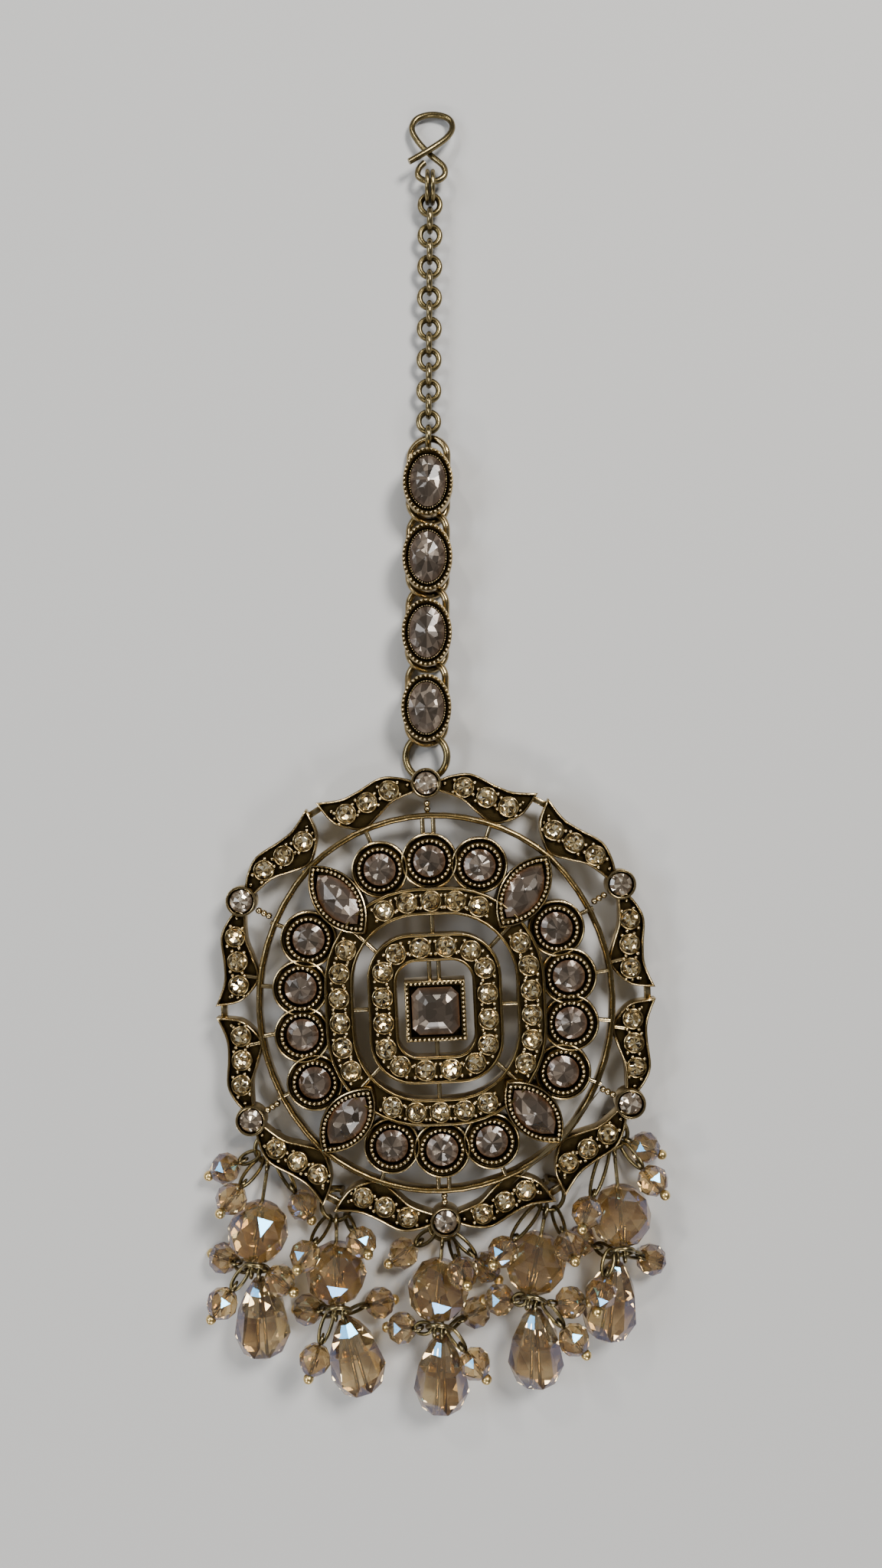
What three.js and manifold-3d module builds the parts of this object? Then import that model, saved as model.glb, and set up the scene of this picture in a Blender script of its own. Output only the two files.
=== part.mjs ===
// Maang tikka: hair hook, rolo chain, four oval stone links, a domed pierced pendant and five bead drops.
// Millimetres. It lies face up: +X right, +Y towards the hook, +Z up out of the face.
import * as THREE from "three";
import { mergeVertices } from "three/addons/utils/BufferGeometryUtils.js";
import Module from "manifold-3d";

const wasm = await Module();
wasm.setup();

// Clearances and facet counts
const LOOSE = 0.3; // play between two links that hang in each other
const STONE_GAP = 0.2; // play between a stone and its seat
const FUSE = 0.25; // how far soldered wires run into each other
const WIRE_SIDES = 5;
const LINK_SIDES = 10;
const BEAD_SIDES = 10;
const PIN_SIDES = 4;
const SETTING_SIDES = 10;
const EYE_SIDES = 8;
const OVAL_SIDES = 16;
const STONE_TABLE = 0.6; // table width as a share of the stone's
const FLOOR_GAP = 0.03; // play between the lying pieces and the floor

// Pendant, in its own frame with the centre stone at the origin
const PENDANT_TURN = 2.57; // degrees, how far it lies turned from the strand
const COLLET_ORBIT = 28.5;
const COLLET_RADIUS = 2.0;
const COLLET_STONE_RADIUS = 1.45;
const RIM_BACK = 2.75; // height of the flat back of the rim above the floor
const RIM_DEPTH = 2.1;
const SIDE_SQUEEZE = 0.055; // share by which the rim is drawn in at its two sides
const SQUEEZE_START = 30; // degrees from +X where it begins
const LEAF_BELLY = 0.884; // share of the orbit where a leaf comes nearest to the oval wire
const LEAF_POCKET = 0.6; // depth of a leaf's sunk field
const LEAF_EDGE = 0.42; // width of the raised edge round a leaf
const WIRE_HALF_WIDTH = 22.9;
const WIRE_HALF_HEIGHT = 24.3;
const WIRE_CORNER_X = 15.6;
const WIRE_CORNER_Y = 18.2;
const WIRE_WIDTH = 0.8;
const WIRE_DEPTH = 1.6;
const METAL_DEPTH = 2.2; // depth of the settings and rings inside the wire
const BAR_WIDTH = 0.6;
const BAR_DEPTH = 0.8;
const BAR_ROOT = 0.3; // how far a bar or stem runs into what it is cast on
const BAR_SINK = 0.1; // how far a bar's top lies below what it is cast on
const TIP_REACH = 1.005; // share of the orbit where two leaf tips meet
const TIP_STRIP_WIDTH = 2.6;
const TIP_STRIP_LENGTH = 3.4;
const TIP_STRIP_DEPTH = 0.9;
const SIDE_TIE_ANGLES = [10.4, 169.6, 190.4, 349.6]; // where a side leaf stands off the oval wire
const STEM_WIDTH = 0.95;
const TWIN_BAR_STEP = 0.65; // half the distance between two parallel bars

// How high the top of each ring of the dome stands above the rim's top
const WIRE_LIFT = 0.7;
const COLLET_LIFT = 0.3;
const ROUND_LIFT = 2.4;
const MARQUISE_LIFT = 2.6;
const MIDDLE_LIFT = 3.2;
const INNER_LIFT = 4.4;
const SQUARE_LIFT = 6.0;

const SEAT_OPEN = 3; // height of the cutter above a seat
const SEAT_DEPTH = 1.3; // depth of the round and marquise seats
const COLLET_SEAT_DEPTH = 1.1;
const SQUARE_SEAT_DEPTH = 1.5;

const ROUND_STONE_RADIUS = 2.05;
const ROUND_WALL_RADIUS = 3.65;
const ROUND_BEZEL_RADIUS = 2.85;
const BEZEL_FALL = 0.35; // from a bezel's top to the rim of its cup
const MARQUISE_STONE_LENGTH = 8.2;
const MARQUISE_STONE_WIDTH = 4.4;
const MARQUISE_TIP_WALL = 1.6; // wall at each point of a marquise, and beside it
const MARQUISE_WALL = 0.85;
const MARQUISE_ANGLE = 52; // degrees from +X
const MARQUISE_TILT = 14; // degrees that the outer end dips
const MARQUISE_X = 12.0;
const MARQUISE_Y = 14.2;
const SQUARE_STONE = 5.9;
const SQUARE_WALL = 0.85;
const SQUARE_CORNER = 0.9; // cut corner of the centre stone

// Height of each stone's girdle over its table, and of its point over the girdle
const STONE_HEIGHTS = {
  round: { girdle: 0.8, point: 0.65 },
  marquise: { girdle: 0.8, point: 0.75 },
  collet: { girdle: 0.6, point: 0.5 },
  centre: { girdle: 1.0, point: 1.2 },
  oval: { girdle: 1.0, point: 0.85 },
};

// The two cushion rings that carry chatons: half sizes and corner radius of each edge
const MIDDLE_RING = { outX: 14.1, outY: 15.2, outCorner: 12.3, inX: 10.4, inY: 11.7, inCorner: 8.6 };
const INNER_RING = { outX: 8.5, outY: 9.5, outCorner: 5.6, inX: 4.8, inY: 6.0, inCorner: 2.6 };
const RING_EDGE = 0.45; // width of the raised edges beside the chatons

// Staple lugs behind the rim that the strand and the drops hang on
const LUG_WIDTH = 0.8;
const LUG_LEG = 0.6;
const STRAND_LUG_ORBIT = 29.1;

// Strand
const STRAND_TURN = -0.4; // degrees
const PENDANT_RING_WIRE = 0.95;
const PENDANT_RING_DIAMETER = 6.8;
const OVAL_COUNT = 4;
const OVAL_LINK_WIRE = 0.95;
const OVAL_LINK_WIDTH = 5.9;
const OVAL_LINK_LENGTH = 12.0;
const OVAL_LINK_TWIST = 20; // degrees that each bow is turned about the strand
const OVAL_CUP_SHIFT = 0.9; // how far the cup sits below the middle of its link
const OVAL_CUP_WIDTH = 6.6;
const OVAL_CUP_LENGTH = 8.8;
const OVAL_CUP_DEPTH = 2.4;
const OVAL_CUP_LIFT = 1.25; // the cup's back over the middle of its link, clear of the next bow
const OVAL_SEAT_DEPTH = 1.5;
const OVAL_EDGE_FALL = 0.5; // height and width of the cup's sloping edge
const OVAL_EDGE_WIDTH = 0.35;
const SOLDER_LENGTH = 2.4;
const OVAL_STONE_WIDTH = 4.6;
const OVAL_STONE_LENGTH = 6.6;
const CHAIN_WIRE = 0.8;
const CHAIN_LINK_DIAMETER = 3.4;
const CHAIN_FLAT_LINKS = 8;
const HOOK_RING_WIRE = 0.7;
const HOOK_RING_DIAMETER = 4.4;
const HOOK_WIRE = 0.8;
const HOOK_LENGTH = 10.0;
const HOOK_LIFT = 2.0; // height of the hook's eye
const HOOK_TIP_LIFT = 0.5; // height of the hook's far bend
const HOOK_SINK = 0.35; // how far the middle of the hook lies below its eye
const HOOK_SPAN = 9.6; // from the eye to the far bend

// Bead drops
const DROP_RING_WIRE = 0.6;
const DROP_RING_DIAMETER = 4.5;
const LOWER_RING_DIAMETER = 3.6;
const PIN_WIRE = 0.5;
const EYE_DIAMETER = 2.2;
const EYE_NECK = 0.3;
const EYE_STEP = 0.95; // from the bead's eye to the teardrop's beside it
const BEAD_DIAMETER = 8.0;
const BEAD_LENGTH = 7.36;
const SMALL_BEAD_DIAMETER = 4.2;
const SMALL_BEAD_LENGTH = 3.6;
const RING_HOLD = 0.35; // how far an upper ring lies above the foot of its lug
const TEARDROP_WIDTH = 7.4;
const TEARDROP_LENGTH = 10.4;
const DROP_RING_TILT = 10; // degrees that the upper ring rises away from the lug
const LOWER_RING_LEAN = 35; // degrees that the lower ring leans back over its bead

// Heights worked out from the sizes above
const RIM_TOP = RIM_BACK + RIM_DEPTH;
const LUG_BASE = 0.6;
const OVAL_BOW_RISE = (OVAL_LINK_WIDTH - OVAL_LINK_WIRE) / 2 * Math.tan(rad(OVAL_LINK_TWIST));
const RING_RISE = (PENDANT_RING_DIAMETER - PENDANT_RING_WIRE) / 2 * Math.sin(rad(OVAL_LINK_TWIST));
const STRAND_HEIGHT = Math.max(OVAL_BOW_RISE + OVAL_LINK_WIRE / 2, RING_RISE + PENDANT_RING_WIRE / 2) + FLOOR_GAP;

function rad(degrees) {
  return degrees * Math.PI / 180;
}

function polar(radius, degrees) {
  return [radius * Math.cos(rad(degrees)), radius * Math.sin(rad(degrees))];
}

// Solids

function solidOf(geometry) {
  geometry.deleteAttribute("normal");
  geometry.deleteAttribute("uv");
  const merged = mergeVertices(geometry, 1e-5);
  const faces = [];
  const index = merged.index.array;
  for (let i = 0; i < index.length; i += 3) {
    const [a, b, c] = [index[i], index[i + 1], index[i + 2]];
    if (a !== b && b !== c && c !== a) {
      faces.push(a, b, c);
    }
  }
  return new wasm.Manifold(new wasm.Mesh({
    numProp: 3,
    vertProperties: new Float32Array(merged.attributes.position.array),
    triVerts: new Uint32Array(faces),
  }));
}

function geometryOf(solid) {
  const { vertProperties, triVerts } = solid.getMesh();
  const geometry = new THREE.BufferGeometry();
  geometry.setAttribute("position", new THREE.BufferAttribute(new Float32Array(vertProperties), 3));
  geometry.setIndex(new THREE.BufferAttribute(new Uint32Array(triVerts), 1));
  return geometry;
}

function joined(solids) {
  return solids.reduce((whole, solid) => whole.add(solid));
}

function moved(solid, x, y, z, turn = 0) {
  const matrix = new THREE.Matrix4().makeRotationZ(rad(turn));
  matrix.setPosition(x, y, z);
  return solid.transform(matrix.elements);
}

function framed(solid, origin, xAxis, yAxis, zAxis) {
  const matrix = new THREE.Matrix4().makeBasis(xAxis, yAxis, zAxis);
  matrix.setPosition(origin);
  return solid.transform(matrix.elements);
}

function prism(outline, bottom, top, hole = null) {
  const shape = new THREE.Shape(outline.map(([x, y]) => new THREE.Vector2(x, y)));
  if (hole) {
    shape.holes.push(new THREE.Path(hole.map(([x, y]) => new THREE.Vector2(x, y))));
  }
  const geometry = new THREE.ExtrudeGeometry(shape, { depth: top - bottom, bevelEnabled: false });
  geometry.translate(0, 0, bottom);
  return solidOf(geometry);
}

function lathe(profile, sides) {
  const geometry = new THREE.LatheGeometry(profile.map(([r, z]) => new THREE.Vector2(r, z)), sides);
  geometry.rotateX(Math.PI / 2);
  return solidOf(geometry);
}

// Round wire ring with a corner of its polygon on +Y, where it meets its neighbour
function torus(diameter, wire, upright = false, sides = LINK_SIDES, wireSides = WIRE_SIDES) {
  const geometry = new THREE.TorusGeometry((diameter - wire) / 2, wire / 2, wireSides, sides);
  geometry.rotateZ(Math.PI / 2);
  if (upright) {
    geometry.rotateY(Math.PI / 2);
  }
  return solidOf(geometry);
}

function stick(from, to, diameter) {
  const along = new THREE.Vector3().subVectors(to, from);
  const geometry = new THREE.CylinderGeometry(diameter / 2, diameter / 2, along.length(), PIN_SIDES);
  const upwards = new THREE.Vector3(0, 1, 0);
  const turn = new THREE.Quaternion().setFromUnitVectors(upwards, along.clone().normalize());
  geometry.applyQuaternion(turn);
  const middle = new THREE.Vector3().addVectors(from, to).multiplyScalar(0.5);
  geometry.translate(middle.x, middle.y, middle.z);
  return solidOf(geometry);
}

function bar(from, to, width, bottom, top) {
  const along = new THREE.Vector2(to[0] - from[0], to[1] - from[1]);
  const side = new THREE.Vector2(-along.y, along.x).setLength(width / 2);
  return prism([
    [from[0] + side.x, from[1] + side.y],
    [from[0] - side.x, from[1] - side.y],
    [to[0] - side.x, to[1] - side.y],
    [to[0] + side.x, to[1] + side.y],
  ], bottom, top);
}

// Outlines

function ellipse(halfX, halfY, sides) {
  return Array.from({ length: sides }, (_, i) => {
    const angle = 2 * Math.PI * i / sides;
    return [halfX * Math.cos(angle), halfY * Math.sin(angle)];
  });
}

function cushion(halfX, halfY, corner, steps = 4) {
  const points = [];
  for (const [sx, sy, start] of [[1, 1, 0], [-1, 1, 90], [-1, -1, 180], [1, -1, 270]]) {
    for (let i = 0; i <= steps; i += 1) {
      const [x, y] = polar(corner, start + 90 * i / steps);
      points.push([sx * (halfX - corner) + x, sy * (halfY - corner) + y]);
    }
  }
  return points;
}

// Distance from the middle of a cushion outline to its edge on the diagonal
function cushionReach(halfX, halfY, corner) {
  const [x, y] = [halfX - corner, halfY - corner];
  const middle = (x + y) / Math.SQRT2;
  return middle + Math.sqrt(corner ** 2 - x ** 2 - y ** 2 + middle ** 2);
}

// The oval wire is four shallow arcs that meet at its corners
function wireArc(half, cornerAlong, cornerAcross) {
  const rise = half - cornerAcross;
  const radius = (cornerAlong ** 2 + rise ** 2) / (2 * rise);
  return { radius, centre: half - radius, sweep: Math.asin(cornerAlong / radius) };
}

const TOP_ARC = wireArc(WIRE_HALF_HEIGHT, WIRE_CORNER_X, WIRE_CORNER_Y);
const SIDE_ARC = wireArc(WIRE_HALF_WIDTH, WIRE_CORNER_Y, WIRE_CORNER_X);

function wireOutline(offset, steps = 6) {
  const points = [];
  for (const [arc, middle] of [[SIDE_ARC, 0], [TOP_ARC, 90], [SIDE_ARC, 180], [TOP_ARC, 270]]) {
    const [cx, cy] = polar(arc.centre, middle);
    for (let i = 0; i < steps; i += 1) {
      const angle = rad(middle) - arc.sweep + 2 * arc.sweep * i / (steps - 1);
      const reach = arc.radius + offset;
      points.push([cx + reach * Math.cos(angle), cy + reach * Math.sin(angle)]);
    }
  }
  return points.filter(([x, y], i) => {
    const [px, py] = points[(i + points.length - 1) % points.length];
    return Math.hypot(x - px, y - py) > WIRE_WIDTH;
  });
}

// How far the middle of the oval wire lies from the pendant's centre at an angle
function wireReach(degrees) {
  const [x, y] = polar(1, degrees).map(Math.abs);
  const onTop = y * WIRE_CORNER_X > x * WIRE_CORNER_Y;
  const { radius, centre } = onTop ? TOP_ARC : SIDE_ARC;
  const along = onTop ? y : x;
  return centre * along + Math.sqrt(radius ** 2 - centre ** 2 * (1 - along ** 2));
}

function marquiseOutline(length, width, steps = 6) {
  const half = length / 2;
  const radius = (half ** 2 + (width / 2) ** 2) / width;
  const sweep = Math.asin(half / radius);
  const points = [];
  for (const side of [1, -1]) {
    for (let i = 0; i < steps; i += 1) {
      const angle = -sweep + 2 * sweep * i / steps;
      points.push([-side * radius * Math.sin(angle), side * (radius * Math.cos(angle) - radius + width / 2)]);
    }
  }
  return points;
}

function inset(outline, distance) {
  const count = outline.length;
  return outline.map((point, i) => {
    const before = outline[(i + count - 1) % count];
    const after = outline[(i + 1) % count];
    const inA = new THREE.Vector2(before[1] - point[1], point[0] - before[0]).normalize();
    const inB = new THREE.Vector2(point[1] - after[1], after[0] - point[0]).normalize();
    const sum = inA.clone().add(inB);
    const scale = Math.min(distance / Math.max(1 + inA.dot(inB), 0.35), distance * 1.6);
    return [point[0] + sum.x * scale, point[1] + sum.y * scale];
  });
}

// Stones are set with the pointed side up: a table below, the girdle, then facets that meet in a point
function pointedStone(outline, { girdle, point }) {
  const rows = [{ share: STONE_TABLE, z: 0 }, { share: 1, z: girdle }];
  const count = outline.length;
  const vertices = rows.flatMap(({ share, z }) => outline.map(([x, y]) => [x * share, y * share, z])).flat();
  const last = 2 * count;
  vertices.push(0, 0, girdle + point);
  const faces = [];
  for (let i = 0; i < count; i += 1) {
    const next = (i + 1) % count;
    faces.push(i, next, next + count, i, next + count, i + count);
    faces.push(i + count, next + count, last);
  }
  for (let i = 1; i + 1 < count; i += 1) {
    faces.push(0, i + 1, i);
  }
  const geometry = new THREE.BufferGeometry();
  geometry.setAttribute("position", new THREE.Float32BufferAttribute(vertices, 3));
  geometry.setIndex(faces);
  return geometry;
}

// Nodes

const tikka = new THREE.Group();
const pendant = new THREE.Group();
pendant.rotation.z = rad(PENDANT_TURN);
const strand = new THREE.Group();
tikka.add(pendant, strand);

const FINISHES = {
  metal: { color: 0x8c7040, roughness: 0.38, metalness: 1.0 },
  stone: { color: 0x8d766c, roughness: 0.08, metalness: 0.0 },
  crystal: { color: 0xdba678, roughness: 0.06, metalness: 0.0 },
};

function add(group, name, geometry, finish) {
  const mesh = new THREE.Mesh(geometry, new THREE.MeshStandardMaterial(FINISHES[finish]));
  mesh.name = name;
  group.add(mesh);
  return mesh;
}

// Pendant frame: leaves, collets, oval wire, settings, cushion rings, bars and lugs in one casting

// Leaf edge, from the collet to the tip and back: degrees from the collet's axis and share of its orbit
const LEAF_EDGE_POINTS = [
  { angle: 2.8, reach: 1.01 },
  { angle: 6.4, reach: 1.038 },
  { angle: 11.4, reach: 1.056 },
  { angle: 18.0, reach: 1.027 },
  { angle: 22.8, reach: 1.023 },
  { angle: 28.6, reach: 1.062 },
  { angle: 27.6, reach: 0.95 },
  { angle: 24.0, reach: 0.882 },
  { angle: 19.6, reach: 0.852 },
  { angle: 14.0, reach: 0.89 },
  { angle: 9.4, reach: 0.934 },
  { angle: 2.8, reach: 0.965 },
];

// Round stones of one quarter, as shares of the collets' orbit
const ROUND_STONES = [
  { x: 0, y: 0.6491 },
  { x: 0.2246, y: 0.6211 },
  { x: 0.6035, y: 0.1053 },
  { x: 0.5579, y: 0.3228 },
];

// Where the five drops hang: degrees round the pendant and share of the collets' orbit
const DROP_LUGS = [
  { angle: 217, reach: 0.99 },
  { angle: 240, reach: 1.008 },
  { angle: 270, reach: 0.985 },
  { angle: 300, reach: 1.008 },
  { angle: 323, reach: 0.99 },
];

// Plan positions from the pendant's centre as shares of the collets' orbit, read off the lying piece:
// the big bead, the teardrop's heading in degrees and the side its eye sits on, and the small beads
// on each of the two rings
const DROP_SHARES = [
  {
    bead: { x: -0.814, y: -1.0526 }, heading: 272, side: -1,
    upper: [{ x: -0.9754, y: -0.786 }, { x: -0.9228, y: -0.8772 }, { x: -0.6175, y: -0.9544 }],
    lower: [{ x: -0.9825, y: -1.2 }, { x: -0.6982, y: -1.2281 }, { x: -0.9614, y: -1.3439 }],
  },
  {
    bead: { x: -0.4561, y: -1.2421 }, heading: 283, side: -1,
    upper: [{ x: -0.5825, y: -1.1158 }, { x: -0.3368, y: -1.0737 }],
    lower: [{ x: -0.593, y: -1.4386 }, { x: -0.2596, y: -1.407 }, { x: -0.5404, y: -1.5789 }],
  },
  {
    bead: { x: 0.0105, y: -1.3193 }, heading: 270, side: -1,
    upper: [{ x: -0.1509, y: -1.1789 }, { x: 0.1193, y: -1.186 }, { x: 0.2316, y: -1.2421 }],
    lower: [{ x: -0.1544, y: -1.4877 }, { x: 0.1825, y: -1.4526 }, { x: 0.1754, y: -1.6 }],
  },
  {
    bead: { x: 0.4561, y: -1.1965 }, heading: 272, side: -1,
    upper: [{ x: 0.3018, y: -1.0982 }, { x: 0.5965, y: -1.0772 }],
    lower: [{ x: 0.2912, y: -1.3579 }, { x: 0.607, y: -1.3404 }, { x: 0.6175, y: -1.4877 }],
  },
  {
    bead: { x: 0.8456, y: -0.9789 }, heading: 264, side: 1,
    upper: [{ x: 0.9684, y: -0.6877 }, { x: 0.9895, y: -0.814 }, { x: 0.6772, y: -0.9193 }],
    lower: [{ x: 0.6737, y: -1.1193 }, { x: 0.7333, y: -1.2596 }, { x: 0.9965, y: -1.207 }],
  },
];

const onPlan = ({ x, y }) => ({ x: x * COLLET_ORBIT, y: y * COLLET_ORBIT });
const DROPS = DROP_SHARES.map(({ bead, heading, side, upper, lower }) => ({
  heading,
  side,
  bead: onPlan(bead),
  upper: upper.map(onPlan),
  lower: lower.map(onPlan),
}));

// Plan heading of each drop, from its lug to its big bead
function dropHeading(index) {
  const { angle, reach } = DROP_LUGS[index];
  const [x, y] = polar(COLLET_ORBIT * reach, angle + PENDANT_TURN);
  return THREE.MathUtils.radToDeg(Math.atan2(DROPS[index].bead.y - y, DROPS[index].bead.x - x));
}

const COLLET_ANGLES = [90, 30, -30, -90, -150, 150];
const ROUND_SPOTS = ROUND_STONES.map(onPlan).flatMap(({ x, y }) => mirrored(x, y));

// The rim is a little narrower than high: a point of the round rim, drawn in at the two sides
function drawnIn([x, y]) {
  const start = Math.cos(rad(SQUEEZE_START));
  const share = Math.max(0, (Math.abs(x) / Math.hypot(x, y) - start) / (1 - start));
  return [x * (1 - SIDE_SQUEEZE * share), y];
}

function leaf(colletAngle, side) {
  const edge = LEAF_EDGE_POINTS.map(({ angle, reach }) => drawnIn(polar(
    COLLET_ORBIT * reach, colletAngle + side * angle)));
  const outline = side > 0 ? edge : edge.reverse();
  const field = prism(inset(outline, LEAF_EDGE), RIM_TOP - LEAF_POCKET, RIM_TOP + 1);
  return prism(outline, RIM_BACK, RIM_TOP).subtract(field);
}

function collet(angle) {
  const outline = ellipse(COLLET_RADIUS, COLLET_RADIUS, SETTING_SIDES);
  const cup = prism(outline, RIM_BACK, RIM_TOP + COLLET_LIFT);
  const stem = bar(
    [BAR_ROOT - COLLET_RADIUS, 0],
    [wireReach(angle) - COLLET_ORBIT, 0],
    STEM_WIDTH,
    RIM_TOP - STEM_WIDTH - BAR_ROOT / 2,
    RIM_TOP - BAR_ROOT / 2,
  );
  return moved(cup.add(stem), ...polar(COLLET_ORBIT, angle), 0, angle);
}

function lug(angle, orbit, wire, facing) {
  const half = wire / 2 + LOOSE;
  const legs = [
    [-half - LUG_LEG, 0],
    [half + LUG_LEG, 0],
    [half + LUG_LEG, RIM_BACK + BAR_ROOT],
    [half, RIM_BACK + BAR_ROOT],
    [half, LUG_BASE],
    [-half, LUG_BASE],
    [-half, RIM_BACK + BAR_ROOT],
    [-half - LUG_LEG, RIM_BACK + BAR_ROOT],
  ];
  const staple = prism(legs, -LUG_WIDTH / 2, LUG_WIDTH / 2);
  const [x, y] = polar(orbit, angle);
  const outwards = new THREE.Vector3(...polar(1, facing), 0);
  const up = new THREE.Vector3(0, 0, 1);
  const across = new THREE.Vector3().crossVectors(outwards, up);
  return framed(staple, new THREE.Vector3(x, y, 0), outwards, up, across);
}

function roundSetting(x, y) {
  const top = RIM_TOP + ROUND_LIFT;
  const cup = lathe([
    [0, top - METAL_DEPTH],
    [ROUND_WALL_RADIUS, top - METAL_DEPTH],
    [ROUND_WALL_RADIUS, top - BEZEL_FALL],
    [ROUND_BEZEL_RADIUS, top],
    [0, top],
  ], SETTING_SIDES);
  return moved(cup, x, y, 0);
}

// Sets a marquise in its corner of the pendant, its outer end lower than its inner one
function marquiseFrame(x, y) {
  return new THREE.Matrix4()
    .makeTranslation(x, y, RIM_TOP + MARQUISE_LIFT)
    .multiply(new THREE.Matrix4().makeRotationZ(rad(Math.sign(x * y) * MARQUISE_ANGLE)))
    .multiply(new THREE.Matrix4().makeRotationY(rad(Math.sign(x) * MARQUISE_TILT)));
}

function marquiseSetting(x, y) {
  const length = MARQUISE_STONE_LENGTH + 2 * MARQUISE_TIP_WALL;
  const width = MARQUISE_STONE_WIDTH + 2 * MARQUISE_WALL;
  const cup = prism(marquiseOutline(length, width), -METAL_DEPTH - BAR_WIDTH, 0);
  return cup.transform(marquiseFrame(x, y).elements);
}

function cushionRing({ outX, outY, outCorner, inX, inY, inCorner }, lift) {
  const top = RIM_TOP + lift;
  const body = prism(
    cushion(outX, outY, outCorner), top - METAL_DEPTH, top, cushion(inX, inY, inCorner));
  const trench = prism(
    cushion(outX - RING_EDGE, outY - RING_EDGE, outCorner - RING_EDGE),
    top - LEAF_POCKET,
    top + 1,
    cushion(inX + RING_EDGE, inY + RING_EDGE, inCorner + RING_EDGE),
  );
  return body.subtract(trench);
}

function squareSetting() {
  const top = RIM_TOP + SQUARE_LIFT;
  const half = SQUARE_STONE / 2 + SQUARE_WALL;
  const seat = SQUARE_STONE / 2 + STONE_GAP;
  const square = (size) => [[size, -size], [size, size], [-size, size], [-size, -size]];
  const bottom = RIM_TOP + INNER_LIFT - METAL_DEPTH;
  return prism(square(half), bottom, top).subtract(prism(square(seat), top - SQUARE_SEAT_DEPTH, top + 1));
}

function frameBars() {
  const bars = [];
  const wireTop = RIM_TOP + WIRE_LIFT;
  // from the scalloped settings to the oval wire, two side by side at the top and the bottom
  for (const [x, y] of ROUND_SPOTS) {
    const angle = THREE.MathUtils.radToDeg(Math.atan2(y, x));
    const near = Math.hypot(x, y) + ROUND_BEZEL_RADIUS;
    for (const step of x === 0 ? [-TWIN_BAR_STEP, TWIN_BAR_STEP] : [0]) {
      const spoke = bar([near, step], [wireReach(angle), step], BAR_WIDTH, wireTop - BAR_DEPTH, wireTop);
      bars.push(moved(spoke, 0, 0, 0, angle));
    }
  }
  // between the two cushion rings
  const midTop = RIM_TOP + MIDDLE_LIFT - BAR_SINK;
  for (const angle of [0, 45, 90, 135, 180, 225, 270, 315]) {
    const diagonal = angle % 90 !== 0;
    const level = angle % 180 === 0;
    let near = level ? INNER_RING.outX : INNER_RING.outY;
    let far = level ? MIDDLE_RING.inX : MIDDLE_RING.inY;
    if (diagonal) {
      near = cushionReach(INNER_RING.outX, INNER_RING.outY, INNER_RING.outCorner);
      far = cushionReach(MIDDLE_RING.inX, MIDDLE_RING.inY, MIDDLE_RING.inCorner);
    }
    const [from, to] = [polar(near - BAR_ROOT, angle), polar(far + BAR_ROOT, angle)];
    bars.push(bar(from, to, BAR_WIDTH, midTop - BAR_DEPTH, midTop));
  }
  // from the inner ring to the square setting
  const innerTop = RIM_TOP + INNER_LIFT - BAR_SINK;
  const half = SQUARE_STONE / 2 + SQUARE_WALL;
  for (const [x, side] of [[TWIN_BAR_STEP, 1], [-TWIN_BAR_STEP, 1], [0, -1]]) {
    const [from, to] = [[x, side * (half - BAR_ROOT)], [x, side * (INNER_RING.inY + BAR_ROOT)]];
    bars.push(bar(from, to, BAR_WIDTH, innerTop - BAR_DEPTH, innerTop));
  }
  return bars;
}

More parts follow.
